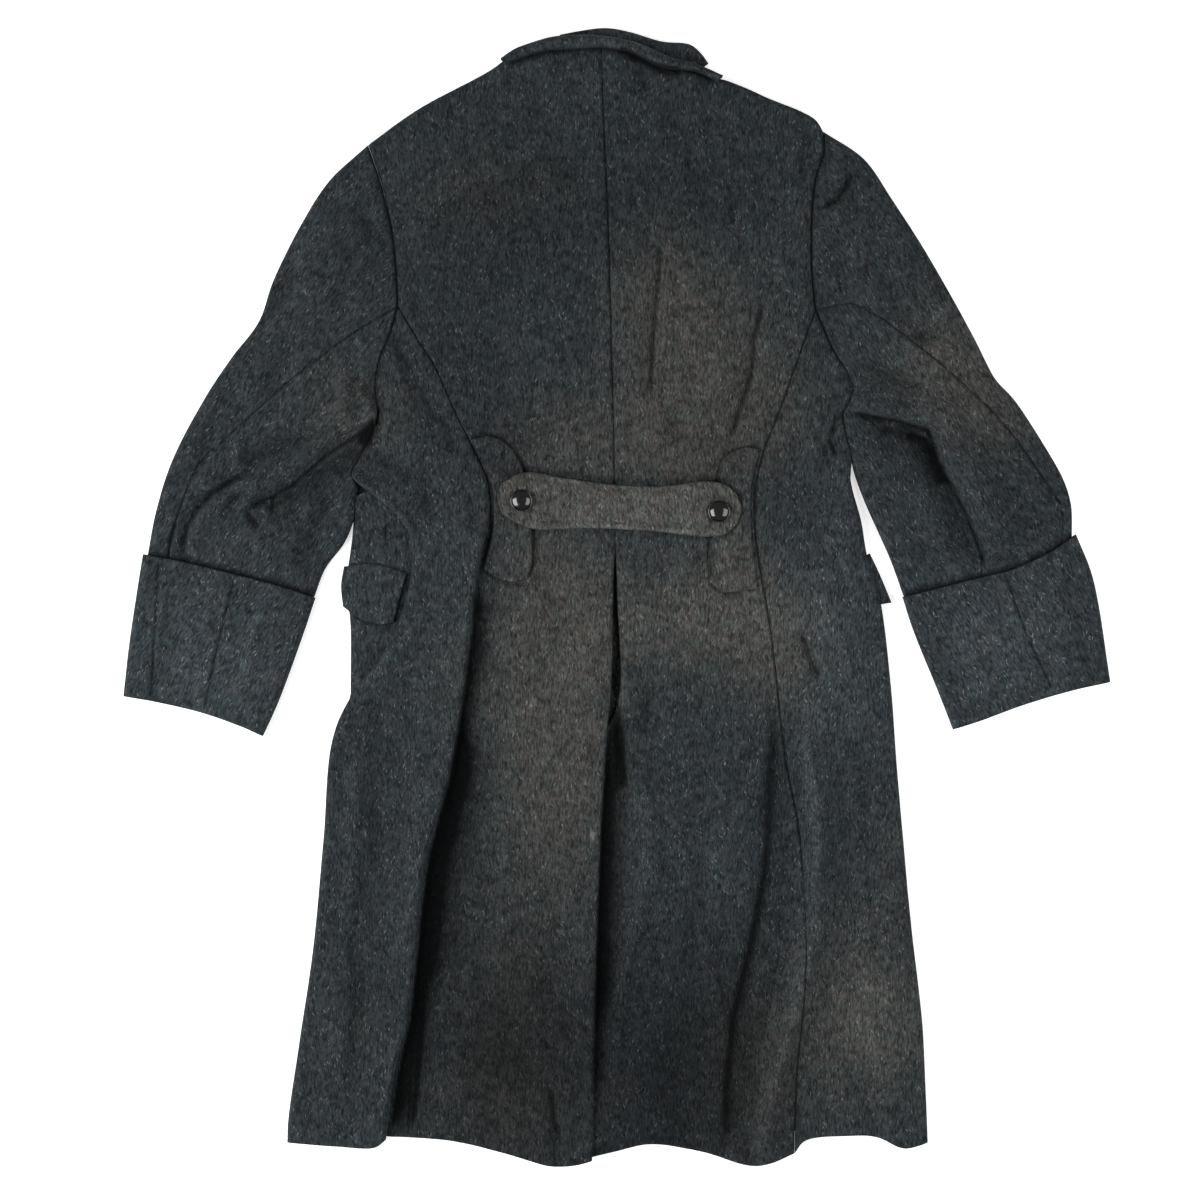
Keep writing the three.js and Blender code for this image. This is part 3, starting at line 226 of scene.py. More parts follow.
def measure(path: Table, place: Array) -> tuple[Array, Array, Array, float]:
    """Measures plan points against a path of straight stretches.

    The nearest point of each stretch is the foot of the perpendicular, held to the stretch's ends, and the
    nearest of those counts.

    Args:
        path: The path's points.
        place: Plan points, in an array whose last axis is across and up.

    Returns:
        Distance from the path, whether each point is on its right hand, length along it, and its whole
        length.
    """
    away = np.full(place.shape[:-1], np.inf)
    right = np.zeros(place.shape[:-1], bool)
    along = np.zeros(place.shape[:-1])
    walked = 0.0
    for start, end in zip(np.array(path[:-1], float), np.array(path[1:], float)):
        length = float(np.linalg.norm(end - start))
        ahead = (end - start) / length
        offset = place - start
        step = np.clip(offset @ ahead, 0.0, length)
        rest = offset - step[..., None] * ahead
        distance = np.linalg.norm(rest, axis=-1)
        nearer = distance < away
        away = np.where(nearer, distance, away)
        right = np.where(nearer, ahead[1] * rest[..., 0] - ahead[0] * rest[..., 1] >= 0, right)
        along = np.where(nearer, walked + step, along)
        walked += length
    return away, right, along, walked


@dataclass(frozen=True)
class Fold:
    """A ridge or trough of the laid cloth, and the painted shade that darkens or the painted highlight that
    brightens its colour.

    Its height is the rise times a bell across its width, raised to a power that makes it crisper, and it
    swells and fades by a smooth step at either end. Its shade is spread in the same way: a negative shade
    is painted shade in creases and gaps and where edges cast shadow, and a positive one is a painted
    highlight on a crest.
    """

    rise: float
    left: float
    right: float
    fade: float
    path: Table
    crisp: float = 1.0
    # shade: painted shade where negative, painted highlight where positive
    shade: float = 0.0

    def spread(self, place: Array) -> Array:
        """Returns how strong the fold is at the given plan points, from 0 to 1."""
        strength = np.zeros(place.shape[:-1])
        reach = max(self.left, self.right)
        low = np.min(self.path, axis=0) - reach
        high = np.max(self.path, axis=0) + reach
        near = np.all((place > low) & (place < high), axis=-1)
        if near.any():
            away, right, along, whole = measure(self.path, place[near])
            ends = smooth(along / self.fade) * smooth((whole - along) / self.fade)
            strength[near] = ends * bell(away / np.where(right, self.right, self.left), 1.0) ** self.crisp
        return strength


# Plan outlines: rows of across, up
SHOULDER_LEFT = ((-261, 474), (-209, 511), (-133, 552), (-112, 566), (-65, 576), (-17, 582))
SHOULDER_RIGHT = (
    (-17, 582), (22, 573), (52, 559), (82, 551), (104, 544), (116, 541), (159, 523), (207, 501),
    (216, 488),
)
CENTRE_BACK = ((-17, 582), (-14, 500), (-10, 406), (-6, 280), (-3, 140), (-2, 60))
VENT_UPPER = ((-2, 60), (-4, -3), (-6, -87), (-12, -171), (-20, -371), (-26, -590))
VENT_UNDER = (
    (-2, 60), (0, -3), (3, -98), (-6, -128), (-30, -160), (-43, -240), (-46, -400), (-49, -592),
)
ARMHOLE_LEFT = (
    (-261, 474), (-247, 433), (-236, 385), (-231, 341), (-230, 304), (-237, 277), (-248, 250),
    (-253, 223), (-251, 193),
)
PRINCESS_LEFT = (
    (-230, 304), (-211, 272), (-193, 244), (-169, 191), (-148, 149), (-136, 122), (-133, 101),
)
FOLD_LEFT = (
    (-133, 101), (-134, 81), (-145, 32), (-153, -35), (-161, -105), (-176, -190), (-200, -274),
    (-207, -340), (-218, -442), (-232, -495), (-242, -568),
)
UNDER_FOLD_LEFT = (
    (-133, 101), (-135, 81), (-163, 23), (-190, -87), (-217, -224), (-238, -371), (-245, -507),
    (-246, -565),
)
SIDE_LEFT = (
    (-251, 193), (-259, 167), (-272, 143), (-278, 127), (-254, 106), (-224, 78), (-214, 46), (-222, -6),
    (-246, -61), (-282, -110), (-299, -152), (-308, -255), (-319, -371), (-333, -465), (-345, -549),
    (-346, -572),
)
FRONT_EDGE_LEFT = (
    (-251, 193), (-259, 167), (-272, 143), (-276, 108), (-277, 70), (-281, 39), (-285, 13), (-280, -24),
    (-279, -90), (-281, -110), (-299, -152), (-308, -255), (-319, -371), (-333, -465), (-342, -540),
    (-343, -560),
)
WRAP_TOP_EDGE = ((-276.5, 105), (-258, 111), (-240, 102), (-222, 90))
WRAP_LEFT = ((-276.5, 105), (-277, 70), (-281, 39), (-285, 13), (-280, -24), (-279.5, -100))
WRAP_RIGHT = ((-222, 90), (-203, 48), (-210, -15), (-236, -70))
WRAP_BOTTOM = ((-279.5, -100), (-262, -95), (-236, -70))
ARMHOLE_RIGHT = (
    (216, 488), (217, 465), (208, 438), (204, 400), (204, 345), (208, 300), (226, 259), (241, 235),
    (247, 216), (237, 194),
)
FRONT_ARMHOLE_RIGHT = (
    (216, 488), (218.4, 465), (209.7, 438), (205.5, 400), (205.5, 345), (209.4, 300), (227, 260),
    (241.5, 236), (247.3, 216), (237, 194),
)
PRINCESS_RIGHT = (
    (208, 300), (186, 239), (170, 194), (153, 151), (144, 112), (145, 60), (160, -29), (177, -171),
    (191, -245), (198, -364), (195, -422), (188, -502), (186, -583),
)
SIDE_RIGHT = (
    (237, 194), (239, 176), (246, 146), (245, 123), (256, 80), (262, 44), (276, -3), (287, -90),
    (293, -171), (308, -339), (320, -444), (324, -520), (326, -572),
)
HEM_BACK_LEFT = ((-246, -565), (-174, -570), (-121, -582), (-69, -596), (-44, -595), (-26, -590))
HEM_BACK_RIGHT = (
    (-49, -592), (-3, -581), (34, -573), (89, -581), (140, -596), (160, -593), (186, -583),
)
HEM_SIDE_RIGHT = ((186, -583), (197, -570), (240, -565), (272, -566), (301, -578), (326, -572))
HEM_SIDE_LEFT = ((-346, -572), (-304, -575), (-254, -576), (-242, -568))
SLEEVE_LEFT_OUTER = (
    (-261, 474), (-301, 437), (-328, 396), (-360, 333), (-376, 288), (-404, 251), (-433, 207),
    (-467, 142), (-484, 87),
)
SLEEVE_LEFT_INNER = (
    (-251, 193), (-255, 172), (-268, 147), (-275.6, 128), (-271.5, 114), (-274.6, 98), (-276, 82),
    (-286, 57), (-306, 30),
)
ELBOW_LEFT = ((-230, 304), (-280, 274), (-343, 226), (-384, 189), (-439, 138), (-455, 100), (-465, 70))
SLEEVE_RIGHT_OUTER = (
    (216, 488), (259, 459), (288, 417), (328, 354), (375, 270), (396, 229), (416, 207), (444, 165),
    (468, 123), (476, 97),
)
SLEEVE_RIGHT_INNER = ((237, 194), (238.4, 176), (245.2, 147), (248.6, 131), (259, 102), (287, 39))
ELBOW_RIGHT = (
    (208, 300), (245, 308), (278, 291), (339, 244), (392, 195), (418, 165), (445, 126), (465, 96),
)
CUFF_LEFT_TOP = ((-497, 45), (-457, 38), (-415, 28), (-372, 17), (-340, 8), (-316, -1))
CUFF_LEFT_BOTTOM = ((-517.5, -104), (-483, -110), (-436, -121), (-393, -136), (-371, -146))
CUFF_LEFT_OUTER = ((-497, 45), (-510, -39), (-517.5, -104))
CUFF_LEFT_INNER = ((-316, -1), (-329, -40), (-354, -108), (-371, -146))
CUFF_RIGHT_TOP = ((481, 66), (457, 49), (435, 38), (411, 28), (369, 18), (346, 12), (299, 0))
CUFF_RIGHT_BOTTOM = ((517, -89), (477, -98), (426, -113), (380, -130), (352, -139))
CUFF_RIGHT_OUTER = ((481, 66), (499, 19), (517, -89))
CUFF_RIGHT_INNER = ((299, 0), (310, -34), (338, -103), (352, -139))
BELT_TOP = (
    (-121, 119), (-98, 130), (-51, 124), (1, 117), (45, 116), (94, 121), (112, 118), (125, 108),
)
BELT_BOTTOM = ((-120, 87), (-106, 78), (-87, 71), (-34, 72), (35, 69), (94, 63), (114, 66), (126, 77))
BELT_LEFT_END = ((-121, 119), (-125, 103), (-120, 87))
BELT_RIGHT_END = ((125, 108), (130, 93), (126, 77))
TAB_LEFT_TOP = ((-153, 165), (-135, 169), (-122, 165), (-109, 154))
TAB_LEFT_INNER = ((-109, 154), (-98, 134), (-92, 102), (-89, 69), (-89, 34), (-94, 19))
TAB_LEFT_BOTTOM = ((-140, 29), (-124, 19), (-109, 15), (-94, 19))
TAB_LEFT_OUTER = ((-153, 165), (-141, 143), (-131, 118), (-129, 96), (-130, 70), (-140, 29))
TAB_RIGHT_TOP = ((109, 142), (120, 152), (134, 157), (150, 155))
TAB_RIGHT_INNER = ((109, 142), (104, 122), (99, 80), (95, 44), (97, 16))
TAB_RIGHT_BOTTOM = ((97, 16), (110, 4), (129, 6), (147, 9))
TAB_RIGHT_OUTER = ((150, 155), (144, 133), (140, 112), (141, 60), (147, 9))
FLAP_LEFT_TOP = ((-286, 32), (-262, 35), (-238, 31), (-220, 25))
FLAP_LEFT_BOTTOM = ((-287, -10), (-266, -25), (-248, -29), (-234, -27))
FLAP_LEFT_OUTER = ((-286, 32), (-289, 12), (-287, -10))
FLAP_LEFT_INNER = ((-220, 25), (-226, 5), (-234, -27))
FLAP_RIGHT_INNER = ((261.5, 44), (266, 24), (274.5, -8))
FLAP_RIGHT_OUTER = ((265, 46), (275, 25), (288, -6))
NECK_LOW = (
    (-117, 556), (-101, 563), (-75, 571), (-18, 574), (10, 571), (37, 558), (52, 553), (83, 549),
    (106, 538),
)
NECK_HIGH = (
    (-122, 564), (-107, 574), (-91, 580), (-65, 587), (-18, 588), (22, 580), (57, 565), (83, 558),
    (111, 546),
)
LEAF_LOW = ((-58, 579), (-17, 584), (24, 576), (54, 563), (88, 552))
LEAF_HIGH = ((-60, 590), (-39, 594), (-12, 597), (13, 593), (47, 583), (76, 580), (87, 572), (96, 560))

# Landmarks on those outlines
PRINCESS_ON_ARMHOLE = {Arm.LEFT: 4, Arm.RIGHT: 5}
BAY_TOP, BAY_FOOT = 3, 9
SLEEVE_FROM_CUFF_CORNER = 5.0
ELBOW_ON_CUFF = {Arm.LEFT: 27.0, Arm.RIGHT: 18.0}

# Main folds, as they lie in the solids
MAIN_FOLDS = (
    Fold(9, 30, 22, 70, ((211, -125), (210, -232), (205, -346), (171, -485), (147, -640))),
    Fold(-5, 14, 16, 60, ((156, -200), (151, -297), (134, -381), (116, -490), (110, -640))),
    Fold(4, 36, 28, 90, ((29, -125), (37, -245), (21, -340), (2, -442), (0, -530))),
    Fold(-4, 20, 20, 50, ((-257, -149), (-253, -190), (-257, -300))),
    Fold(-3, 16, 16, 45, ((47, 383), (40, 328), (33, 230))),
    Fold(-2.5, 16, 16, 35, ((151, 302), (141, 244), (127, 198))),
    Fold(-3, 34, 34, 50, ((-82, 460), (-124, 425), (-187, 404))),
    Fold(-4, 18, 16, 50, ((-228, 262), (-211, 227), (-193, 188), (-165, 140))),
    Fold(-3, 14, 14, 18, ((-196, 112), (-207, 80))),
    Fold(-6, 12, 18, 30, ((-262, 184), (-300, 152), (-338, 121), (-359, 108), (-386, 94))),
    Fold(-5, 14, 12, 30, ((-396, 120), (-439, 98), (-452, 75), (-458, 42))),
    Fold(-3.5, 12, 12, 16, ((-378, 124), (-411, 94))),
    Fold(-3.5, 16, 16, 30, ((-300, 176), (-338, 160), (-370, 147))),
    Fold(4, 22, 22, 35, ((-286, 240), (-284, 209), (-305, 176))),
    Fold(-3, 14, 14, 22, ((-275, 406), (-258, 384), (-246, 362))),
    Fold(8, 55, 9, 26, ((238, 205), (294, 188), (333, 182), (336, 162), (367, 91), (394, 18))),
    Fold(-3, 12, 12, 16, ((212, 408), (229, 417), (247, 452))),
    Fold(-3.5, 14, 14, 18, ((224, 196), (219, 172), (224, 148))),
    Fold(-3, 16, 16, 16, ((199, -48), (212, -84))),
    Fold(-3, 16, 14, 28, ((163, -95), (159, -185))),
    Fold(-3, 10, 10, 20, ((-68, -510), (-66, -544), (-58, -610))),
    Fold(5, 40, 8, 30, ((6, -112), (8, -150), (18, -202), (30, -250))),
    Fold(-4, 18, 16, 16, ((20, 566), (24, 548), (30, 520))),
    Fold(4, 40, 34, 60, ((-110, -330), (-80, -450), (-60, -640))),
    Fold(3, 34, 30, 60, ((262, -230), (272, -380), (296, -640))),
    Fold(3.5, 30, 34, 60, ((-262, -330), (-290, -450), (-300, -640))),
    Fold(-2.5, 24, 26, 60, ((240, -180), (246, -330), (228, -480), (236, -640))),
    Fold(3, 32, 32, 50, ((-92, 20), (-100, -60), (-92, -150))),
    Fold(-3, 18, 22, 40, ((-330, 384), (-352, 330), (-338, 276))),
    Fold(3, 26, 22, 40, ((300, 380), (330, 320), (356, 262))),
    Fold(-3, 16, 18, 30, ((300, 140), (318, 92), (338, 44))),
)

# Creases and seams that are only drawn here, with their shades: painted shade in creases, gaps and seams
# and where edges cast shadow, and painted highlights on crests
FINE_FOLDS = (
    # Left sleeve: painted shade in the creases, painted highlights on the lobes, and the painted shadow
    # that the cuff casts above it
    Fold(5, 60, 60, 50, ((-278, 427), (-322, 291), (-385, 165), (-415, 55))),
    Fold(7, 5, 42, 18,
         ((-240, 196), (-276, 178), (-306, 158), (-338, 129), (-366, 111), (-396, 98)), shade=0.1),
    Fold(-6.5, 5, 3, 12,
         ((-247, 187), (-261, 178), (-280, 165), (-306, 148), (-324, 132), (-342, 117),
          (-358, 108), (-376, 99), (-390, 91)), shade=-0.9),
    Fold(-3, 34, 6, 20, ((-253, 177), (-291, 148), (-333, 117), (-373, 91)), shade=-0.5),
    Fold(-6, 13, 11, 8, ((-249, 190), (-256, 174), (-270, 158)), shade=-0.85),
    Fold(-3.5, 6, 6, 8, ((-390, 93), (-383, 83), (-375, 69)), shade=-0.7),
    Fold(-2, 3.5, 3.5, 5, ((-358, 109), (-361, 100), (-363, 86)), shade=-0.6),
    Fold(-7, 7, 4.5, 24,
         ((-379, 135), (-402, 123), (-426, 108), (-443, 90), (-453, 70), (-456, 51),
          (-453, 37)), crisp=1.2, shade=-0.85),
    Fold(5, 26, 5, 24,
         ((-379, 127), (-400, 116), (-421, 102), (-437, 85), (-446, 66), (-449, 47)), shade=0.12),
    Fold(-2.5, 4, 4, 7, ((-461, 79), (-468, 59), (-471, 41)), shade=-0.7),
    Fold(-3, 5, 5, 10, ((-383, 116), (-402, 102), (-417, 86)), shade=-0.55),
    Fold(-5, 12, 12, 26, ((-293, 173), (-317, 170), (-346, 161), (-376, 149), (-398, 133)), shade=-0.38),
    Fold(-5, 15, 15, 26, ((-290, 118), (-310, 90), (-324, 59), (-337, 23)), shade=-0.38),
    Fold(-3, 8, 8, 14, ((-278, 411), (-258, 384), (-238, 364)), shade=-0.35),
    Fold(4, 14, 14, 26, ((-286, 247), (-284, 209), (-303, 177)), shade=0.12),
    Fold(-2.5, 10, 10, 20, ((-333, 280), (-359, 236), (-373, 205)), shade=-0.2),
    Fold(-2, 12, 12, 20, ((-415, 196), (-433, 159), (-448, 117)), shade=-0.2),
    Fold(-1.2, 9, 1, 5, CUFF_LEFT_TOP, shade=-0.8),
    # Right sleeve: painted shade in the creases and hollows, painted highlights on the lobe and ridges, and
    # the painted shadow that the cuff casts above it
    Fold(5, 60, 60, 50, ((264, 427), (310, 291), (387, 175), (421, 60))),
    Fold(7, 46, 4, 14,
         ((243, 200), (293, 190), (327, 181), (335, 173), (340, 148), (355, 121), (370, 91),
          (380, 63), (391, 33)), shade=0.06),
    Fold(-6.5, 2.5, 5, 10,
         ((245, 194), (293, 185), (326, 175), (330, 166), (337, 142), (352, 114), (366, 85),
          (377, 59), (386, 30)), shade=-0.92),
    Fold(-3, 2, 46, 20, ((266, 182), (324, 166), (340, 133), (362, 81), (379, 37)), shade=-0.4),
    Fold(-3, 7, 22, 12, ((302, 175), (324, 164), (334, 140), (345, 112)), shade=-0.55),
    Fold(-1.5, 3, 18, 14, ((247, 190), (287, 182), (320, 172)), shade=-0.45),
    Fold(-4, 6, 7, 8, ((214, 408), (230, 416), (240, 430), (246, 448)), shade=-0.75),
    Fold(-2.5, 14, 14, 24, ((253, 257), (287, 236), (324, 215)), shade=-0.25),
    Fold(3, 14, 14, 22, ((350, 165), (366, 129), (388, 89), (402, 51)), shade=0.14),
    Fold(-2.5, 10, 10, 20, ((402, 85), (438, 79), (471, 87)), shade=-0.2),
    Fold(-3, 10, 10, 22, ((360, 312), (339, 280), (302, 259)), shade=-0.2),
    Fold(4, 16, 16, 24, ((297, 352), (329, 320), (360, 280)), shade=0.14),
    Fold(-4, 16, 16, 26, ((276, 312), (302, 293), (329, 257)), shade=-0.2),
    Fold(-4, 14, 14, 30, ((-341, 352), (-364, 301), (-404, 257)), shade=-0.2),
    Fold(4, 16, 16, 30, ((-310, 364), (-333, 312), (-373, 259)), shade=0.12),
    Fold(-1.2, 1, 9, 5, CUFF_RIGHT_TOP, shade=-0.8),
    # Cuffs: painted shade in a trough and painted highlights on the ridges
    Fold(-2, 10, 10, 24, ((-465, -3), (-472, -56), (-482, -102)), shade=-0.18),
    Fold(2.5, 14, 14, 26, ((-364, 1), (-379, -45), (-398, -108)), shade=0.12),
    Fold(-2, 10, 12, 26, ((465, 39), (480, -24), (495, -87)), shade=-0.15),
    Fold(2, 16, 16, 26, ((350, -3), (369, -56), (392, -114)), shade=0.08),
    # Armpits and the left side above the belt: painted shade in the hollows and painted highlights on the
    # ridges
    Fold(-4, 6, 6, 8, ((232, 196), (223, 165), (230, 144)), shade=-0.7),
    Fold(-2, 4, 4, 6, ((215, 165), (218, 152), (224, 138)), shade=-0.5),
    Fold(2, 6, 10, 10, ((249, 220), (238, 203), (230, 182)), shade=0.25),
    Fold(-3.5, 7, 7, 16, ((-238, 275), (-211, 227), (-193, 188), (-184, 187), (-169, 144)), shade=-0.32),
    Fold(3, 12, 10, 14, ((-278, 223), (-255, 193), (-236, 169)), shade=0.14),
    Fold(4, 12, 10, 16, ((-280, 129), (-240, 93), (-214, 63)), shade=0.16),
    Fold(-2.5, 6, 6, 8, ((-195, 112), (-202, 98), (-208, 83)), shade=-0.3),
    Fold(-3, 10, 10, 18, ((-257, 154), (-228, 133), (-190, 123)), shade=-0.2),
    # Upper back: the painted shadow under the collar band and in the gap beneath it, painted shade in the
    # troughs and painted highlights on the swells
    Fold(-1, 3, 8, 8, NECK_LOW, shade=-0.8),
    Fold(-5, 5, 9, 5, ((1, 574), (26, 562), (41, 554), (68, 550)), shade=-0.92),
    Fold(-4, 6, 9, 8, ((22, 558), (26, 543), (30, 528)), shade=-0.55),
    Fold(-3, 4, 5, 26, ((47, 379), (43, 334), (38, 273), (35, 203)), crisp=1.2, shade=-0.6),
    Fold(-3.5, 5, 6, 18,
         ((154, 312), (144, 272), (140, 229), (127, 192), (117, 159)), crisp=1.1, shade=-0.62),
    Fold(-1.5, 5, 5, 12, ((17, 453), (16, 429), (18, 406)), shade=-0.3),
    Fold(-1.5, 6, 6, 14, ((120, 442), (119, 411), (122, 377)), shade=-0.25),
    Fold(-2, 24, 24, 30, ((-18, 440), (-78, 454), (-124, 425), (-190, 402)), shade=-0.22),
    Fold(-2, 12, 12, 26, ((47, 203), (75, 167), (114, 152)), shade=-0.22),
    Fold(-2, 12, 12, 24, ((-60, 194), (-89, 165), (-110, 148)), shade=-0.18),
    Fold(2.5, 34, 30, 60, ((-102, 352), (-96, 259), (-85, 165)), shade=0.06),
    Fold(2.5, 34, 30, 60, ((100, 400), (91, 299), (77, 201)), shade=0.06),
    # Skirt beside the left fold: painted highlights along the roll and on the ridges, and the painted
    # shadow that the roll casts on the left back
    Fold(1, 2, 18, 30, FOLD_LEFT, shade=0.18),
    Fold(3, 16, 16, 30, ((-196, -171), (-203, -245), (-215, -318), (-228, -381)), shade=0.2),
    Fold(-1, 30, 2, 30,
         ((-149, 18), (-151, -35), (-160, -98), (-174, -190), (-197, -274), (-205, -339),
          (-215, -442), (-228, -495), (-239, -570)), shade=-0.8),
    Fold(-1.5, 60, 3, 60,
         ((-163, -129), (-186, -234), (-203, -318), (-211, -413), (-228, -507), (-237, -570)), shade=-0.4),
    Fold(
        -2, 56, 3, 40, ((-161, -129), (-175, -203), (-188, -266), (-196, -350), (-203, -413)),
        shade=-0.42,
    ),
    Fold(-3, 6, 4, 24, ((-198, -371), (-205, -423), (-208, -486), (-215, -562)), shade=-0.75),
    Fold(-3, 10, 12, 30, ((-255, -140), (-251, -190), (-251, -245), (-255, -297)), shade=-0.2),
    Fold(2, 10, 10, 20, ((-194, -9), (-219, -41), (-247, -70)), shade=0.14),
    Fold(2.5, 12, 12, 30, ((-270, -150), (-274, -213), (-278, -297), (-285, -381)), shade=0.1),
    Fold(-2.5, 14, 14, 40, ((-280, -318), (-268, -402), (-274, -486), (-280, -570)), shade=-0.15),
    Fold(2.5, 18, 14, 20, ((-236, -58), (-257, -89), (-272, -121)), shade=0.16),
    # Vent: painted shade in its gap and beside its upper edge, and painted highlights on its edge and ridge
    Fold(-2, 5, 4, 14, ((-3, 39), (-2, -14), (-1, -66), (-2, -117)), shade=-0.95),
    Fold(4, 30, 5, 16, ((3, -66), (7, -119), (13, -161), (19, -208))),
    Fold(-4, 34, 2, 30,
         ((-8, -121), (-12, -171), (-16, -234), (-19, -318), (-22, -413), (-26, -528)), shade=-0.72),
    Fold(-2, 12, 10, 12, ((-2, -112), (3, -150), (5, -203)), shade=-0.7),
    Fold(-2, 62, 2, 60, ((-9, -150), (-16, -245), (-20, -339), (-24, -465)), shade=-0.35),
    Fold(0.5, 2, 7, 20, VENT_UPPER, shade=0.12),
    Fold(
        4, 14, 16, 50, ((24, -171), (35, -234), (35, -297), (14, -364), (-1, -444), (-7, -539)),
        shade=0.14,
    ),
    Fold(-3, 8, 8, 14, ((37, -75), (33, -108), (27, -148)), shade=-0.3),
    # Skirt on the right, and a hollow and lip by the right shoulder: painted shade in the troughs and
    # painted highlights on the ridges
    Fold(-8, 12, 7, 50,
         ((165, -98), (158, -180), (156, -244), (152, -294), (139, -364), (121, -436),
          (113, -506), (112, -591)), crisp=1.2, shade=-0.55),
    Fold(-3, 30, 8, 60,
         ((169, -108), (163, -180), (161, -244), (154, -294), (141, -364), (123, -436),
          (116, -506), (113, -591)), shade=-0.38),
    Fold(7, 14, 14, 50,
         ((192, -129), (206, -192), (210, -244), (207, -351), (195, -400), (181, -454),
          (160, -524), (150, -591)), crisp=1.1, shade=0.3),
    Fold(-1, 14, 14, 40, ((178, -245), (175, -318), (161, -402), (142, -486), (131, -570)), shade=-0.16),
    Fold(-5, 6, 6, 9, ((192, -37), (198, -54), (205, -70), (213, -87)), shade=-0.6),
    Fold(-2.5, 12, 12, 40, ((247, -129), (257, -213), (268, -318), (280, -434)), shade=-0.12),
    Fold(-2, 16, 16, 50, ((77, -171), (87, -287), (72, -402), (58, -539)), shade=-0.14),
    Fold(2, 16, 16, 50, ((108, -108), (114, -213), (104, -318), (87, -423)), shade=0.06),
    Fold(-1, 5, 5, 16, ((-43, -587), (-5, -576), (35, -566), (81, -572)), shade=-0.4),
    Fold(-3, 4, 5, 12, ((-69, -511), (-66, -544), (-57, -575)), shade=-0.5),
    Fold(-2.2, 14, 14, 50, ((-125, -213), (-138, -318), (-144, -423), (-152, -539)), shade=-0.12),
    Fold(-2.5, 7, 7, 10, ((204, 492), (195, 470), (193, 452), (197, 430)), shade=-0.3),
    Fold(1.2, 4, 4, 6, ((210, 486), (212, 471), (207, 455)), shade=0.22),
    # Seams, which sink in the cloth, each a dark seam line with painted shade in its groove and beside it
    Fold(-0.8, 3, 3, 6, ARMHOLE_LEFT, shade=-0.4),
    Fold(-1, 10, 10, 20, ARMHOLE_LEFT, shade=-0.16),
    Fold(-0.8, 3, 3, 6, ARMHOLE_RIGHT, shade=-0.4),
    Fold(-1, 10, 10, 20, ARMHOLE_RIGHT, shade=-0.16),
    Fold(-0.5, 2.4, 2.4, 8, PRINCESS_LEFT, shade=-0.25),
    Fold(-0.5, 2.4, 2.4, 8, PRINCESS_RIGHT, shade=-0.25),
    Fold(-0.5, 2.4, 2.4, 90, CENTRE_BACK, shade=-0.3),
    Fold(-0.6, 2.4, 2.4, 8, ELBOW_LEFT, shade=-0.35),
    Fold(-0.6, 2.4, 2.4, 8, ELBOW_RIGHT, shade=-0.4),
    Fold(-1.6, 2.2, 2.2, 3, ((-480, 39), (-484, -40), (-488, -105)), shade=-0.62),
    Fold(-1.6, 2.2, 2.2, 3, ((-401, 18), (-420, -60), (-432, -119)), shade=-0.62),
    Fold(-1.6, 2.2, 2.2, 3, ((408, 21), (420, -17), (430, -43), (455, -96)), shade=-0.62),
    Fold(-1.2, 2.6, 2.6, 3, ((-368, 67), (-374, 44), (-378, 22)), shade=-0.3),
    Fold(-1.6, 3, 3, 3, ((-242, 88), (-243, 64), (-245, 41)), shade=-0.5),
    Fold(-1.6, 3, 3, 10, ((-211, -413), (-216, -502), (-219, -570)), shade=-0.45),
    # Belt, tabs and collar: painted shadows under the edges of the belt, tabs and pocket flap, and a
    # painted highlight along the collar's crest
    Fold(-1.5, 13, 1, 14, BELT_TOP, shade=-0.5),
    Fold(-0.8, 1, 7, 14, BELT_BOTTOM, shade=-0.35),
    Fold(-1.4, 1, 9, 6, TAB_LEFT_OUTER, shade=-0.5),
    Fold(-1.2, 6, 0.5, 4, TAB_LEFT_TOP, shade=-0.45),
    Fold(-1.2, 6, 0.5, 4, TAB_RIGHT_TOP, shade=-0.45),
    Fold(-1.4, 7, 1, 6, TAB_LEFT_INNER, shade=-0.4),
    Fold(-1.2, 7, 1, 6, TAB_RIGHT_INNER, shade=-0.45),
    Fold(-1.2, 0.5, 7, 4, TAB_LEFT_BOTTOM, shade=-0.65),
    Fold(-1.2, 0.5, 6, 4, TAB_RIGHT_BOTTOM, shade=-0.6),
    Fold(-1, 1, 7, 4, FLAP_LEFT_BOTTOM, shade=-0.5),
    Fold(-1, 7, 1, 4, FLAP_LEFT_INNER, shade=-0.6),
    Fold(0.3, 3, 3, 10,
         ((-50, 588), (-19, 588), (6, 586), (21, 578), (41, 568), (62, 563), (94, 555)), shade=0.45),
)
# The belt's stitched rim, dents beside its buttons and a soft trough, with painted shade in them and a
# painted highlight along its lower edge
BELT_FOLDS = (
    Fold(-0.9, 1.8, 1.8, 8,
         ((-112, 112), (-95, 123), (-51, 118), (1, 111), (45, 110), (94, 115), (112, 110)), shade=-0.28),
    Fold(-0.9, 1.8, 1.8, 8,
         ((-112, 92), (-100, 80), (-87, 77), (-34, 78), (35, 75), (94, 69), (114, 76)), shade=-0.28),
    Fold(0.4, 2.6, 2.6, 10, ((-104, 81), (-87, 74), (-34, 75), (35, 72), (94, 66), (110, 70)), shade=0.3),
    Fold(-1, 9, 9, 6, ((-112, 94), (-100, 89), (-88, 96)), shade=-0.25),
    Fold(-1, 9, 9, 6, ((94, 84), (106, 78), (118, 86)), shade=-0.25),
    Fold(-1, 14, 14, 20, ((-86, 112), (-60, 100), (-20, 104)), shade=-0.1),
)


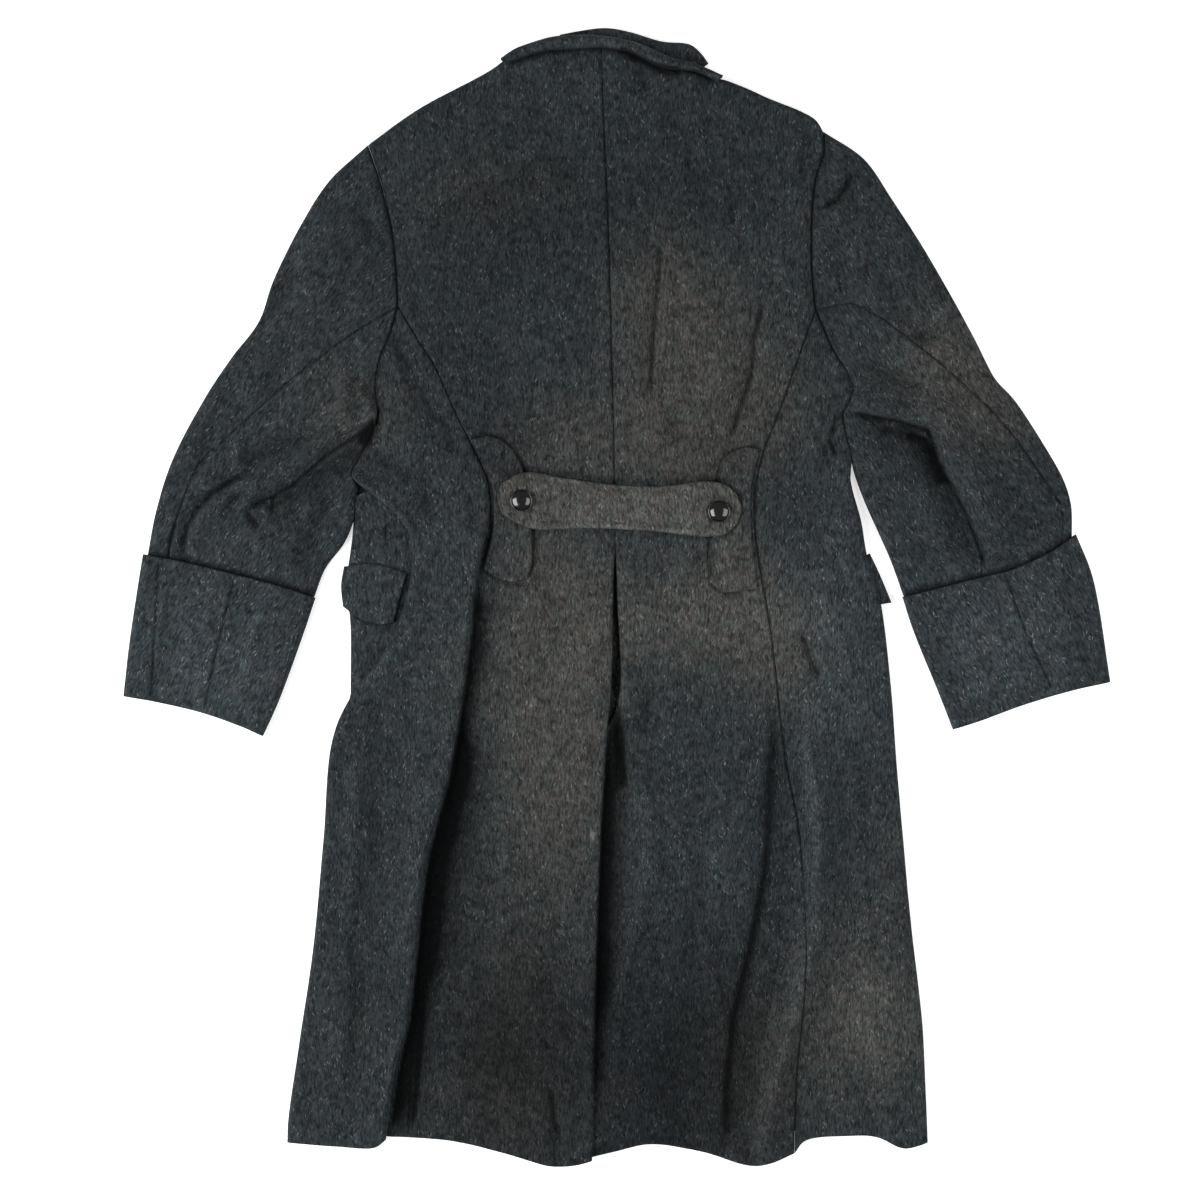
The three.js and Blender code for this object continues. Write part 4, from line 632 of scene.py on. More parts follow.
class Relief:
    """Height of the laid back and sleeves above the surface, from the layers below and the folds."""

    EDGE_HEIGHT = 12.5
    HEM_EDGE_HEIGHT = 9.5
    HEM_FROM = -380.0
    HEM_LENGTH = 180.0
    MIDDLE_RISE = 3.0
    MIDDLE_HALF_WIDTH = 110.0
    CHEST_RISE = 3.0
    CHEST_UP = 320.0
    CHEST_REACH = 190.0
    LOWEST = 9.2
    LOWEST_ON_LAP = 12.2
    FLOOR_FROM = 150.0
    FLOOR_FADE = 50.0
    SOFTENING = 2.0
    FOLD_LIFT = 11.0
    FOLD_DROP = 2.5
    FOLD_REACH = 60.0
    FOLD_UP = 101.0
    FOLD_SWELL = 46.0
    VENT_LIFT = 4.0
    VENT_DROP = 2.0
    VENT_REACH = 50.0
    VENT_UP = 40.0
    VENT_SWELL = 120.0
    VENT_STEP = 24.0
    BAY_LIFT = 8.0
    BAY_REACH = 60.0
    BAY_UP = 145.0
    BAY_DOWN = -190.0
    BAY_FADE_ABOVE = 30.0
    BAY_FADE_BELOW = 60.0
    HEM_SWELL = 0.6
    RIPPLES = 26
    RIPPLE_SEED = 11
    RIPPLE_LENGTHS = (16.0, 95.0)
    RIPPLE_TURN = 0.5
    RIPPLE_RISE = 0.22
    RIPPLE_RISE_AT = 40.0
    RIPPLE_GROWTH = 0.8

    def __init__(self) -> None:
        pick = np.random.default_rng(self.RIPPLE_SEED)
        wave = np.exp(pick.uniform(*np.log(self.RIPPLE_LENGTHS), self.RIPPLES))
        turn = pick.normal(0.0, self.RIPPLE_TURN, self.RIPPLES)
        self.waves = np.stack([np.cos(turn), np.sin(turn)]) * 2 * np.pi / wave
        self.phases = pick.uniform(0.0, 2 * np.pi, self.RIPPLES)
        self.swings = self.RIPPLE_RISE * (wave / self.RIPPLE_RISE_AT) ** self.RIPPLE_GROWTH

    def ripples(self, place: Array) -> Array:
        """Returns the small unevenness of the cloth, a sum of sine waves that run mostly along it."""
        total = np.zeros(place.shape[:-1])
        for wave, swing, phase in zip(self.waves.T, self.swings, self.phases):
            total += swing * np.sin(place @ wave + phase)
        return total

    def laid(self, place: Array) -> Array:
        """Returns the height of the cloth where it lies on the fronts or, in a sleeve, on itself.

        A flat base sinks towards the hem and swells over the middle and the chest. The folds are added,
        and a smooth floor keeps a deep trough above the layers below.
        """
        across, up = place[..., 0], place[..., 1]
        hem = smooth((self.HEM_FROM - up) / self.HEM_LENGTH)
        middle = self.MIDDLE_RISE * np.exp(-((across / self.MIDDLE_HALF_WIDTH) ** 2))
        middle = middle * (1 + self.HEM_SWELL * hem)
        chest = self.CHEST_RISE * np.exp(
            -((across / self.CHEST_REACH) ** 2) - ((up - self.CHEST_UP) / self.CHEST_REACH) ** 2
        )
        height = blend(self.EDGE_HEIGHT, self.HEM_EDGE_HEIGHT, hem) + middle + chest
        for fold in MAIN_FOLDS + FINE_FOLDS:
            height = height + fold.rise * fold.spread(place)
        height = height + self.ripples(place)
        lapped = smooth((self.FLOOR_FROM - np.abs(across)) / self.FLOOR_FADE)
        floor = blend(self.LOWEST, self.LOWEST_ON_LAP, lapped) + self.SOFTENING
        kept = self.SOFTENING * np.exp(np.minimum(0.0, height - floor) / self.SOFTENING)
        return np.where(height > floor, height, floor - self.SOFTENING + kept)

    def fold_strength(self, up: Array) -> Array:
        """Returns how far the left side has rolled over the back, 0 at the waist and 1 below it."""
        return smooth((self.FOLD_UP - up) / self.FOLD_SWELL)

    def vent_strength(self, up: Array) -> Array:
        """Returns how far the vent has opened, 0 above it and 1 well down it."""
        return smooth((self.VENT_UP - up) / self.VENT_SWELL)

    def back_left(self, place: Array) -> Array:
        """Returns the left back's height: pressed down beside the roll and lifted along the vent."""
        up = place[..., 1]
        fold = bell(measure(FOLD_LEFT, place)[0], self.FOLD_REACH)
        vent = bell(measure(VENT_UPPER, place)[0], self.VENT_REACH)
        sink = self.FOLD_DROP * self.fold_strength(up) * fold
        return self.laid(place) - sink + self.VENT_LIFT * self.vent_strength(up) * vent

    def back_right(self, place: Array) -> Array:
        """Returns the right back's height: it lies lower where it goes under the vent's upper edge."""
        away, right, _, _ = measure(VENT_UPPER, place)
        under = np.where(right, 1.0, 1.0 - smooth(away / self.VENT_STEP))
        return self.laid(place) - self.VENT_DROP * self.vent_strength(place[..., 1]) * under

    def side_left(self, place: Array) -> Array:
        """Returns the left side's height: lifted along the roll and round the bay."""
        up = place[..., 1]
        fold = bell(measure(FOLD_LEFT, place)[0], self.FOLD_REACH)
        fold = self.FOLD_LIFT * self.fold_strength(up) * fold
        bay = bell(measure(SIDE_LEFT[BAY_TOP:BAY_FOOT + 1], place)[0], self.BAY_REACH)
        above = smooth((self.BAY_UP - up) / self.BAY_FADE_ABOVE)
        ends = above * smooth((up - self.BAY_DOWN) / self.BAY_FADE_BELOW)
        return self.laid(place) + fold + self.BAY_LIFT * bay * ends

    def shoulder_foot(self, place: Array) -> Array:
        """Returns the height that the back's shoulder edge stands on: higher on the lapped fronts."""
        across = place[..., 0]
        lapped = (across > -LAP_HALF_WIDTH - LAP_MARGIN) & (across < LAP_DOWN_BY)
        return SEAM_GAP + np.where(lapped, LAPPED_TOP, FLOOR_TOP)


RELIEF = Relief()


@dataclass(frozen=True)
class Spot:
    """A soft oval of changed colour on the cloth, in plan.

    Its strength falls from the middle as a bell curve over its half widths.
    """

    across: float
    up: float
    half_width: float
    half_height: float
    strength: float

    def spread(self, place: Array) -> Array:
        """Returns the spot's strength at the given plan points."""
        x = (place[..., 0] - self.across) / self.half_width
        y = (place[..., 1] - self.up) / self.half_height
        return self.strength * np.exp(-(x**2) - y**2)


# Worn brown places, and places that are paler or darker than the rest
WORN = (
    Spot(40, 310, 45, 70, 0.8), Spot(95, 250, 85, 100, 0.8), Spot(150, 190, 60, 60, 0.5),
    Spot(60, 160, 70, 60, 0.7), Spot(-55, 165, 65, 55, 0.6), Spot(-62, -20, 60, 100, 0.85),
    Spot(-66, -180, 64, 140, 1.0), Spot(92, -20, 100, 62, 1.0), Spot(165, -70, 45, 55, 0.6),
    Spot(257, -440, 80, 100, 0.85), Spot(352, 244, 66, 66, 0.9), Spot(-112, -434, 70, 120, 0.5),
    Spot(-290, 205, 55, 55, 0.35), Spot(-135, 425, 80, 36, 0.45), Spot(400, 180, 50, 40, 0.5),
    Spot(-250, 190, 60, 50, 0.25), Spot(0, 590, 130, 20, 0.25), Spot(230, 380, 60, 60, 0.2),
    Spot(-330, 330, 50, 60, 0.2), Spot(-290, -450, 50, 80, 0.2), Spot(-160, -90, 40, 70, 0.3),
    Spot(122, 40, 30, 50, 0.6), Spot(-112, 90, 30, 70, 0.3), Spot(140, -500, 50, 90, 0.6),
    Spot(-110, -540, 90, 50, 0.4), Spot(300, -260, 40, 60, 0.3),
)
TONES = (
    Spot(-427, -60, 80, 80, 0.48), Spot(412, -50, 85, 80, 0.62), Spot(-280, 0, 40, 50, 0.12),
    Spot(225, -60, 50, 150, 0.48), Spot(75, -490, 95, 130, -0.60), Spot(-110, -480, 90, 150, -0.62),
    Spot(-90, 400, 130, 70, -0.26), Spot(105, 440, 80, 60, -0.14), Spot(-70, -130, 60, 190, 0.26),
    Spot(90, -10, 100, 60, 0.30), Spot(60, 230, 110, 110, 0.14), Spot(256, -430, 70, 110, 0.34),
    Spot(355, 240, 70, 60, 0.25), Spot(-410, 110, 60, 50, -0.10), Spot(-190, 0, 40, 110, 0.08),
    Spot(-270, -380, 50, 180, -0.20), Spot(-150, 250, 70, 110, -0.24), Spot(60, -250, 60, 90, 0.14),
    Spot(25, 590, 80, 16, 0.45), Spot(-26, -249, 2.0, 4.0, 3.5), Spot(-264, -248, 1.8, 4.0, 2.5),
    Spot(340, 60, 60, 60, 0.14), Spot(122, 40, 30, 50, 0.16), Spot(-112, 90, 34, 70, -0.14),
    Spot(-20, 90, 60, 40, 0.06), Spot(-160, -230, 30, 90, -0.14),
)

# How far the painted shade and painted highlights of folds that cross may darken or brighten the cloth
DARKEST_PAINTED_SHADE = 0.08
PALEST_PAINTED_HIGHLIGHT = 1.6


@dataclass(frozen=True)
class Groove:
    """How deep each face sinks at a seam, and how far from it."""

    outer: float
    inner: float
    reach: float


GROOVES = {Edge.SEAM: Groove(1.8, 0.6, 1.7), Edge.ELBOW: Groove(0.8, 0.0, 1.2)}


def fully(along: Array, place: Array) -> Array:
    """Returns the strength of an edge that rolls over its whole length."""
    return np.ones_like(along)


def rolling_below(above: float) -> Callable[[Array, Array], Array]:
    """Returns the strength of an edge that rolls from a length along it, and begins a little above."""
    return lambda along, place: smooth((along - above + ROLL_STARTS) / ROLL_STARTS)


@dataclass(frozen=True)
class Roll:
    """How an edge of cloth turns down through a quarter circle.

    Args:
        foot: Height that the edge comes down to, from its plan points.
        strength: How much it rolls, from lengths along the edge and its plan points.
    """

    foot: Callable[[Array], Array]
    strength: Callable[[Array, Array], Array] = fully


@dataclass(frozen=True)
class Outline:
    """The four edges of a piece. Left and right run down, top and bottom run to the right."""

    top: PlanLine
    bottom: PlanLine
    left: PlanLine
    right: PlanLine

    @classmethod
    def of(cls, top: Table, bottom: Table, left: Table, right: Table) -> "Outline":
        """Draws the four edges through their tables."""
        return cls(*(PlanLine.through(table) for table in (top, bottom, left, right)))

    def grid(self, edges: dict[Side, Edge], cell: Point) -> tuple[Array, Array]:
        """Fills the outline with plan points.

        A point is the sum of the one between left and right edge and the one between top and bottom edge,
        less the one between the four corners. Lanes lie close together beside each edge.

        Args:
            edges: How each side ends, for its lanes.
            cell: Width and height of a cell between the lanes.

        Returns:
            The plan points, row by row, and how far each row lies down the left edge.
        """
        tall = (self.left.length + self.right.length) / 2
        down = spaced(np.array([tall]), edges.get(Side.TOP), edges.get(Side.BOTTOM), cell[1])[0] / tall
        for line in (self.left, self.right):
            for corner in line.corners:
                down[1 + np.argmin(np.abs(down[1:-1] - corner / line.length))] = corner / line.length
        start = self.left.at(down * self.left.length)
        end = self.right.at(down * self.right.length)
        wide = np.linalg.norm(end - start, axis=1)
        across = spaced(wide, edges.get(Side.LEFT), edges.get(Side.RIGHT), cell[0]) / wide[:, None]
        s, t = across[..., None], np.broadcast_to(down[:, None], across.shape)[..., None]
        sides = blend(start[:, None], end[:, None], s)
        ends = blend(
            self.top.at(across * self.top.length), self.bottom.at(across * self.bottom.length), t
        )
        high = blend(self.top.dense[0], self.top.dense[-1], s)
        low = blend(self.bottom.dense[0], self.bottom.dense[-1], s)
        return sides + ends - blend(high, low, t), down * self.left.length


def spaced(widths: Array, first: Edge | None, last: Edge | None, cell: float) -> Array:
    """Spaces points over each of several widths, with close lanes at either end.

    Args:
        widths: The widths, one for each row.
        first: How the near end finishes, or None for no lanes.
        last: How the far end finishes.
        cell: Size of a cell between the lanes.

    Returns:
        Distances from the near end, a row for each width.
    """
    most = LANE_SHARE * widths[:, None]
    near, far = (np.array(end.value if end else (0.0,))[None, :] for end in (first, last))
    near, far = (lanes * np.minimum(1.0, most / max(lanes[0, -1], TINY)) for lanes in (near, far))
    count = max(2, round((float(widths.max()) - near[0, -1] - far[0, -1]) / cell))
    shares = np.linspace(0.0, 1.0, count + 1)[None, 1:-1]
    middle = blend(near[:, -1:], widths[:, None] - far[:, -1:], shares)
    return np.concatenate([near, middle, widths[:, None] - far[:, ::-1]], axis=1)


def facing(grid: Array, side: Side) -> Array:
    """Returns a view of a grid whose rows start at the given side."""
    turned = grid if side in (Side.LEFT, Side.RIGHT) else grid.swapaxes(0, 1)
    return turned[:, ::-1] if side in (Side.RIGHT, Side.BOTTOM) else turned


def pressed(
    outer: Array, inner: Array, side: Side, edge: Edge, wall: float, sign: float = 1.0
) -> None:
    """Shapes the lanes beside an edge: a seam sinks in a groove, and a free edge is rounded off.

    The groove is a bell curve across the seam. The rounding is a quarter ellipse above and below the
    middle of the cloth, over half its thickness.

    Args:
        outer: The outer face, changed in place.
        inner: The inner face, changed in place.
        side: The side that the edge is on.
        edge: How it ends.
        wall: Thickness of the cloth.
        sign: 1 where the outer face is on top, or -1 where it lies below.
    """
    lanes = np.array(edge.value)
    over, under = (facing(face, side)[:, :len(lanes), 2] for face in (outer, inner))
    if edge in GROOVES:
        groove = GROOVES[edge]
        dip = np.exp(-((lanes / groove.reach) ** 2))
        over -= groove.outer * dip
        under -= groove.inner * dip
    elif edge is Edge.FREE:
        half = wall / 2
        drop = sign * ROUNDING * half * (1 - np.sqrt(1 - np.clip(1 - lanes / half, 0.0, 1.0) ** 2))
        over -= drop
        under += drop


@dataclass
class Cloth:
    """A piece of cloth as two faces of one grid, and how it is joined to the frame.

    Args:
        name: The piece's name.
        nodes: CAD nodes that it stands for.
        outer: Outer face, in millimetres.
        inner: Inner face, with as many points.
        cut: Width and length of the flat cut, in metres. Not used.
        area: Area of the flat cut, in square metres. Not used.
        rests_on: What it lies on.
        held: How it is held. Not used.
        loop: Whether the last column meets the first.
        slot: Name of a finish slot. Not used.
        painted_shade_folds: Folds whose painted shade and painted highlights are put into its colour.
    """

    name: str
    nodes: tuple[str, ...]
    outer: Array
    inner: Array
    cut: tuple[float, float]
    area: float
    rests_on: tuple[str, ...] = ()
    held: Held = Held.LAID
    loop: bool = False
    slot: str = "coat_wool"
    painted_shade_folds: tuple[Fold, ...] = FINE_FOLDS

    def build(self, finish: bpy.types.Material) -> bpy.types.Object:
        """Makes the mesh, dresses it and joins it to the frame."""
        piece = shell(self.name, self.outer, self.inner, self.loop, self.painted_shade_folds)
        piece.data.materials.append(finish)
        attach(piece, BODY)
        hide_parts(*self.nodes)
        list(self.rests_on)
        log.info("%s: %d points", piece.name, len(piece.data.vertices))
        return piece


def shell(
    name: str, outer: Array, inner: Array, loop: bool = False, painted_shade_folds: tuple[Fold, ...] = FINE_FOLDS
) -> bpy.types.Object:
    """Closes two faces of one grid into a mesh.

    Points are counted row by row, the outer face first. Each cell is a quad on both faces, and the rim
    joins the faces along the grid's edges.

    Args:
        name: The object's name.
        outer: Outer face, in millimetres, rows by columns by three.
        inner: Inner face, of the same shape.
        loop: Whether the last column meets the first.
        painted_shade_folds: Folds whose painted shade and painted highlights are put into the piece's
            colour.

    Returns:
        The object, at the origin.
    """
    rows, columns = outer.shape[:2]
    points = np.concatenate([outer.reshape(-1, 3), inner.reshape(-1, 3)])
    index = np.arange(rows * columns).reshape(rows, columns)
    if loop:
        index = np.concatenate([index, index[:, :1]], axis=1)
    back = index + rows * columns
    quads = [
        cells(index[:-1, :-1], index[1:, :-1], index[1:, 1:], index[:-1, 1:]),
        cells(back[:-1, :-1], back[:-1, 1:], back[1:, 1:], back[1:, :-1]),
        cells(index[0, :-1], index[0, 1:], back[0, 1:], back[0, :-1]),
        cells(index[-1, :-1], back[-1, :-1], back[-1, 1:], index[-1, 1:]),
    ]
    if not loop:
        quads.append(cells(index[:-1, 0], back[:-1, 0], back[1:, 0], index[1:, 0]))
        quads.append(cells(index[:-1, -1], index[1:, -1], back[1:, -1], back[:-1, -1]))
    return mesh_object(name, points, np.concatenate(quads), painted_shade_folds)


def cells(*corners: Array) -> Array:
    """Returns rows of corner numbers, from one array for each corner."""
    return np.stack([corner.ravel() for corner in corners], axis=1)


def mesh_object(
    name: str, points: Array, faces: Array, painted_shade_folds: tuple[Fold, ...] = FINE_FOLDS
) -> bpy.types.Object:
    """Makes a smooth mesh from points in millimetres and faces of one size, with the cloth's attributes,
    whose tone holds painted shade and painted highlights.

    The faces are turned over if together they enclose a negative volume.

    Args:
        name: The object's name.
        points: Points, one row each.
        faces: Corner numbers, one row for each face.
        painted_shade_folds: Folds whose painted shade and painted highlights are put into the piece's
            colour.

    Returns:
        The object, at the origin, in the scene.
    """
    a, b, c = points[faces[:, 0]], points[faces[:, 1]], points[faces[:, 2]]
    d = points[faces[:, -1]]
    volume = np.sum(a * np.cross(b, c)) + (np.sum(a * np.cross(c, d)) if faces.shape[1] == 4 else 0.0)
    if volume < 0:
        faces = faces[:, ::-1]
    mesh = bpy.data.meshes.new(name)
    mesh.vertices.add(len(points))
    mesh.vertices.foreach_set("co", (points * MM).ravel())
    mesh.loops.add(faces.size)
    mesh.loops.foreach_set("vertex_index", np.ascontiguousarray(faces).ravel().astype(np.int32))
    mesh.polygons.add(len(faces))
    mesh.polygons.foreach_set("loop_start", (np.arange(len(faces)) * faces.shape[1]).astype(np.int32))
    mesh.polygons.foreach_set("use_smooth", np.ones(len(faces), bool))
    mesh.update()
    mesh.validate()
    place = points[:, :2]
    worn = sum(spot.spread(place) for spot in WORN)
    tone = sum(spot.spread(place) for spot in TONES)
    # The folds' shades are painted shade in creases, gaps and cast shadows and painted highlights on
    # crests; the tone attribute holds them times the paler and darker places.
    shade = sum(fold.shade * fold.spread(place) for fold in painted_shade_folds if fold.shade)
    for attribute, amount in (("worn", worn), ("tone", (1 + tone) * np.clip(1 + shade, DARKEST_PAINTED_SHADE, PALEST_PAINTED_HIGHLIGHT))):
        values = mesh.attributes.new(attribute, "FLOAT", "POINT")
        values.data.foreach_set("value", amount.astype(np.float32))
    piece = bpy.data.objects.new(name, mesh)
    bpy.context.scene.collection.objects.link(piece)
    return piece


def panel_faces(
    outline: Outline,
    edges: dict[Side, Edge],
    height: Height,
    rolls: dict[Side, Roll] | None = None,
    wall: float = WALL,
    cell: Point = PANEL_CELL,
) -> tuple[Array, Array]:
    """Turns an outline into the two faces of laid cloth.

    Where an edge rolls, each lane's height is the crest less the radius times one minus the cosine of its
    angle, and the inner face stands in by the wall times the sine. The rolled edge ends in a foot.

    Args:
        outline: The piece's four edges.
        edges: How each side ends.
        height: Height of the outer face from plan points.
        rolls: How the rolled sides turn down.
        wall: Thickness of the cloth.
        cell: Width and height of a cell.

    Returns:
        Outer and inner face, rows by columns by three.
    """
    plan, along = outline.grid(edges, cell)
    outer = np.dstack([plan, height(plan)])
    inner = outer - (0.0, 0.0, wall)
    for side, edge in edges.items():
        pressed(outer, inner, side, edge, wall)
    feet: dict[Side, tuple[Array, Array]] = {}
    for side, roll in (rolls or {}).items():
        feet[side] = rolled(plan, outer, inner, side, roll, along, wall)
    for side, (foot_outer, foot_inner) in feet.items():
        axis = 1 if side in (Side.LEFT, Side.RIGHT) else 0
        faces = []
        for face, foot in ((outer, foot_outer), (inner, foot_inner)):
            strip = np.expand_dims(foot, axis)
            first = side in (Side.LEFT, Side.TOP)
            faces.append(np.concatenate([strip, face] if first else [face, strip], axis=axis))
        outer, inner = faces
    return outer, inner


def rolled(
    plan: Array, outer: Array, inner: Array, side: Side, roll: Roll, along: Array, wall: float
) -> tuple[Array, Array]:
    """Turns one edge of a piece down, in place, and returns the outer and inner points of its foot.

    Where the edge doesn't roll, its foot lies at a third and two thirds of the wall below the cloth.
    """
    sine, cosine = np.sin(ROLL_ANGLES), np.cos(ROLL_ANGLES)
    count = len(ROLL_ANGLES)
    ground, over, under = (facing(face, side) for face in (plan, outer, inner))
    edge, crest = ground[:, 0], over[:, count - 1, 2]
    inward = unit(ground[:, count - 1] - edge)
    share = roll.strength(along if side in (Side.LEFT, Side.RIGHT) else np.zeros(len(edge)), edge)
    down = roll.foot(edge)
    radius = np.maximum(wall, np.minimum(ROLL, crest - down - ROLL_CLEARANCE))
    flat = over[:, 0, 2].copy()
    turned = crest[:, None] - radius[:, None] * (1 - cosine)
    over[:, :count, 2] = blend(over[:, :count, 2], turned, share[:, None])
    step = inward[:, None] * (wall * sine)[None, :, None] * share[:, None, None]
    under[:, :count, :2] = ground[:, :count] + step
    turned = (crest - radius)[:, None] + (radius - wall)[:, None] * cosine
    under[:, :count, 2] = blend(under[:, :count, 2], turned, share[:, None])
    foot_outer = np.column_stack([edge, blend(flat - wall / 3, down, share)])
    foot_inner = np.column_stack(
        [edge + inward * wall * share[:, None], blend(flat - wall / 1.5, down, share)]
    )
    return foot_outer, foot_inner


def tube_layer(
    plan: Array, height: Array, sign: float, wall: float, sides: tuple[Side, ...]
) -> tuple[Array, Array]:
    """Returns the upper layer of a flattened tube, or the one on the surface where sign is -1.

    Each side that turns is half a circle whose radius is half the height beside it.

    Args:
        plan: Plan points.
        height: Height of the upper layer.
        sign: 1 for the upper layer and -1 for the lower.
        wall: Thickness of the cloth.
        sides: The sides where the layers meet.

    Returns:
        Outer and inner face.
    """
    count = len(ROLL_ANGLES)
    cosine = np.cos(ROLL_ANGLES) * sign
    reach = (wall * np.sin(ROLL_ANGLES))[None, :, None]
    outer = np.dstack([plan, height if sign > 0 else np.zeros(plan.shape[:2])])
    inner = outer - (0.0, 0.0, sign * wall)
    for side in sides:
        over, under, ground = (facing(face, side) for face in (outer, inner, plan))
        radius = facing(height, side)[:, count - 1] / 2
        over[:, :count, 2] = radius[:, None] * (1 + cosine)
        under[:, :count, 2] = radius[:, None] + (radius - wall)[:, None] * cosine
        inward = unit(ground[:, count - 1] - ground[:, 0])
        under[:, :count, :2] = ground[:, :count] + inward[:, None] * reach
    return outer, inner


def straight(start: Array, end: Array) -> PlanLine:
    """Returns a straight plan line between two points."""
    return PlanLine(np.linspace(start, end, 3))


class Armhole:
    """The seam round one armhole, split where the princess seam meets it."""

    def __init__(self, arm: Arm) -> None:
        self.line = PlanLine.through(ARMHOLE_LEFT if arm is Arm.LEFT else ARMHOLE_RIGHT)
        split = self.line.row(PRINCESS_ON_ARMHOLE[arm])
        self.upper = self.line.part(0.0, split)
        self.lower = self.line.part(split)


class Back:
    """The back: two back panels that part in a vent, and two side panels."""

    apex = 2.0

    def __init__(self) -> None:
        self.left_hole, self.right_hole = Armhole(Arm.LEFT), Armhole(Arm.RIGHT)
        self.centre = PlanLine.through(CENTRE_BACK)
        self.princess_left = PlanLine.through(PRINCESS_LEFT)
        self.princess_right = PlanLine.through(PRINCESS_RIGHT)
        self.shoulder = {Side.TOP: Roll(RELIEF.shoulder_foot)}
        self.shoulder_edges = {
            Side.TOP: Edge.ROLLED, Side.BOTTOM: Edge.FREE,
            Side.LEFT: Edge.SEAM, Side.RIGHT: Edge.SEAM,
        }

    def back_left(self) -> Cloth:
        """The left back panel, from the edge under the roll to the vent's upper edge."""
        outline = Outline(
            PlanLine.through(SHOULDER_LEFT),
            PlanLine.through(HEM_BACK_LEFT),
            PlanLine.joined(self.left_hole.upper, self.princess_left, PlanLine.through(UNDER_FOLD_LEFT)),
            PlanLine.joined(self.centre, PlanLine.through(VENT_UPPER)),
        )
        faces = panel_faces(outline, self.shoulder_edges, RELIEF.back_left, self.shoulder)
        return Cloth("cloth_back_left", ("back_left",), *faces, cut=(0.27, 1.17), area=0.225,
                     rests_on=("front_left", "front_right"))

    def back_right(self) -> Cloth:
        """The right back panel, which goes under the vent's upper edge."""
        outline = Outline(
            PlanLine.through(SHOULDER_RIGHT),
            PlanLine.through(HEM_BACK_RIGHT),
            PlanLine.joined(self.centre, PlanLine.through(VENT_UNDER)),
            PlanLine.joined(self.right_hole.upper, self.princess_right),
        )
        faces = panel_faces(outline, self.shoulder_edges, RELIEF.back_right, self.shoulder)
        return Cloth("cloth_back_right", ("back_right",), *faces, cut=(0.27, 1.17), area=0.235,
                     rests_on=("front_left", "front_right"))

    def side_left(self) -> Cloth:
        """The left side panel, rolled over the back and drawn away from the pocket."""
        start = self.left_hole.lower.part(self.apex)
        seam = self.princess_left.part(self.apex)
        outline = Outline(
            straight(start.dense[0], seam.dense[0]),
            PlanLine.through(HEM_SIDE_LEFT),
            PlanLine.joined(start, PlanLine.through(SIDE_LEFT)),
            PlanLine.joined(seam, PlanLine.through(FOLD_LEFT)),
        )
        edges = {Side.LEFT: Edge.ROLLED, Side.RIGHT: Edge.ROLLED, Side.BOTTOM: Edge.FREE}

        def outer_foot(place: Array) -> Array:
            """Comes down on the front's turned edge along the bay, and on the front elsewhere."""
            up = place[..., 1]
            inside = (up < SIDE_LEFT[BAY_TOP][1]) & (up > SIDE_LEFT[BAY_FOOT][1])
            return np.where(inside, WRAP_FOOT, FOOT)

        rolls = {
            Side.LEFT: Roll(outer_foot, rolling_below(self.left_hole.lower.length)),
            Side.RIGHT: Roll(
                raised(RELIEF.back_left, SEAM_GAP),
                lambda along, place: RELIEF.fold_strength(place[:, 1]),
            ),
        }
        faces = panel_faces(outline, edges, RELIEF.side_left, rolls)
        return Cloth("cloth_side_left", ("side_left",), *faces, cut=(0.16, 0.92), area=0.103,
                     rests_on=("front_left", "front_wrap_left", "back_left"), held=Held.FOLDED)

    def side_right(self) -> Cloth:
        """The right side panel, which rolls down to the front at its outer edge."""
        start = self.right_hole.lower.part(self.apex)
        seam = self.princess_right.part(self.apex)
        outline = Outline(
            straight(seam.dense[0], start.dense[0]),
            PlanLine.through(HEM_SIDE_RIGHT),
            seam,
            PlanLine.joined(start, PlanLine.through(SIDE_RIGHT)),
        )
        edges = {Side.LEFT: Edge.SEAM, Side.RIGHT: Edge.ROLLED, Side.BOTTOM: Edge.FREE}
        rolls = {Side.RIGHT: Roll(level(FOOT), rolling_below(self.right_hole.lower.length))}
        faces = panel_faces(outline, edges, RELIEF.laid, rolls)
        return Cloth("cloth_side_right", ("side_right",), *faces, cut=(0.15, 0.9), area=0.098,
                     rests_on=("front_right",))

    def pieces(self) -> list[Cloth]:
        """The four panels."""
        return [self.back_left(), self.back_right(), self.side_left(), self.side_right()]


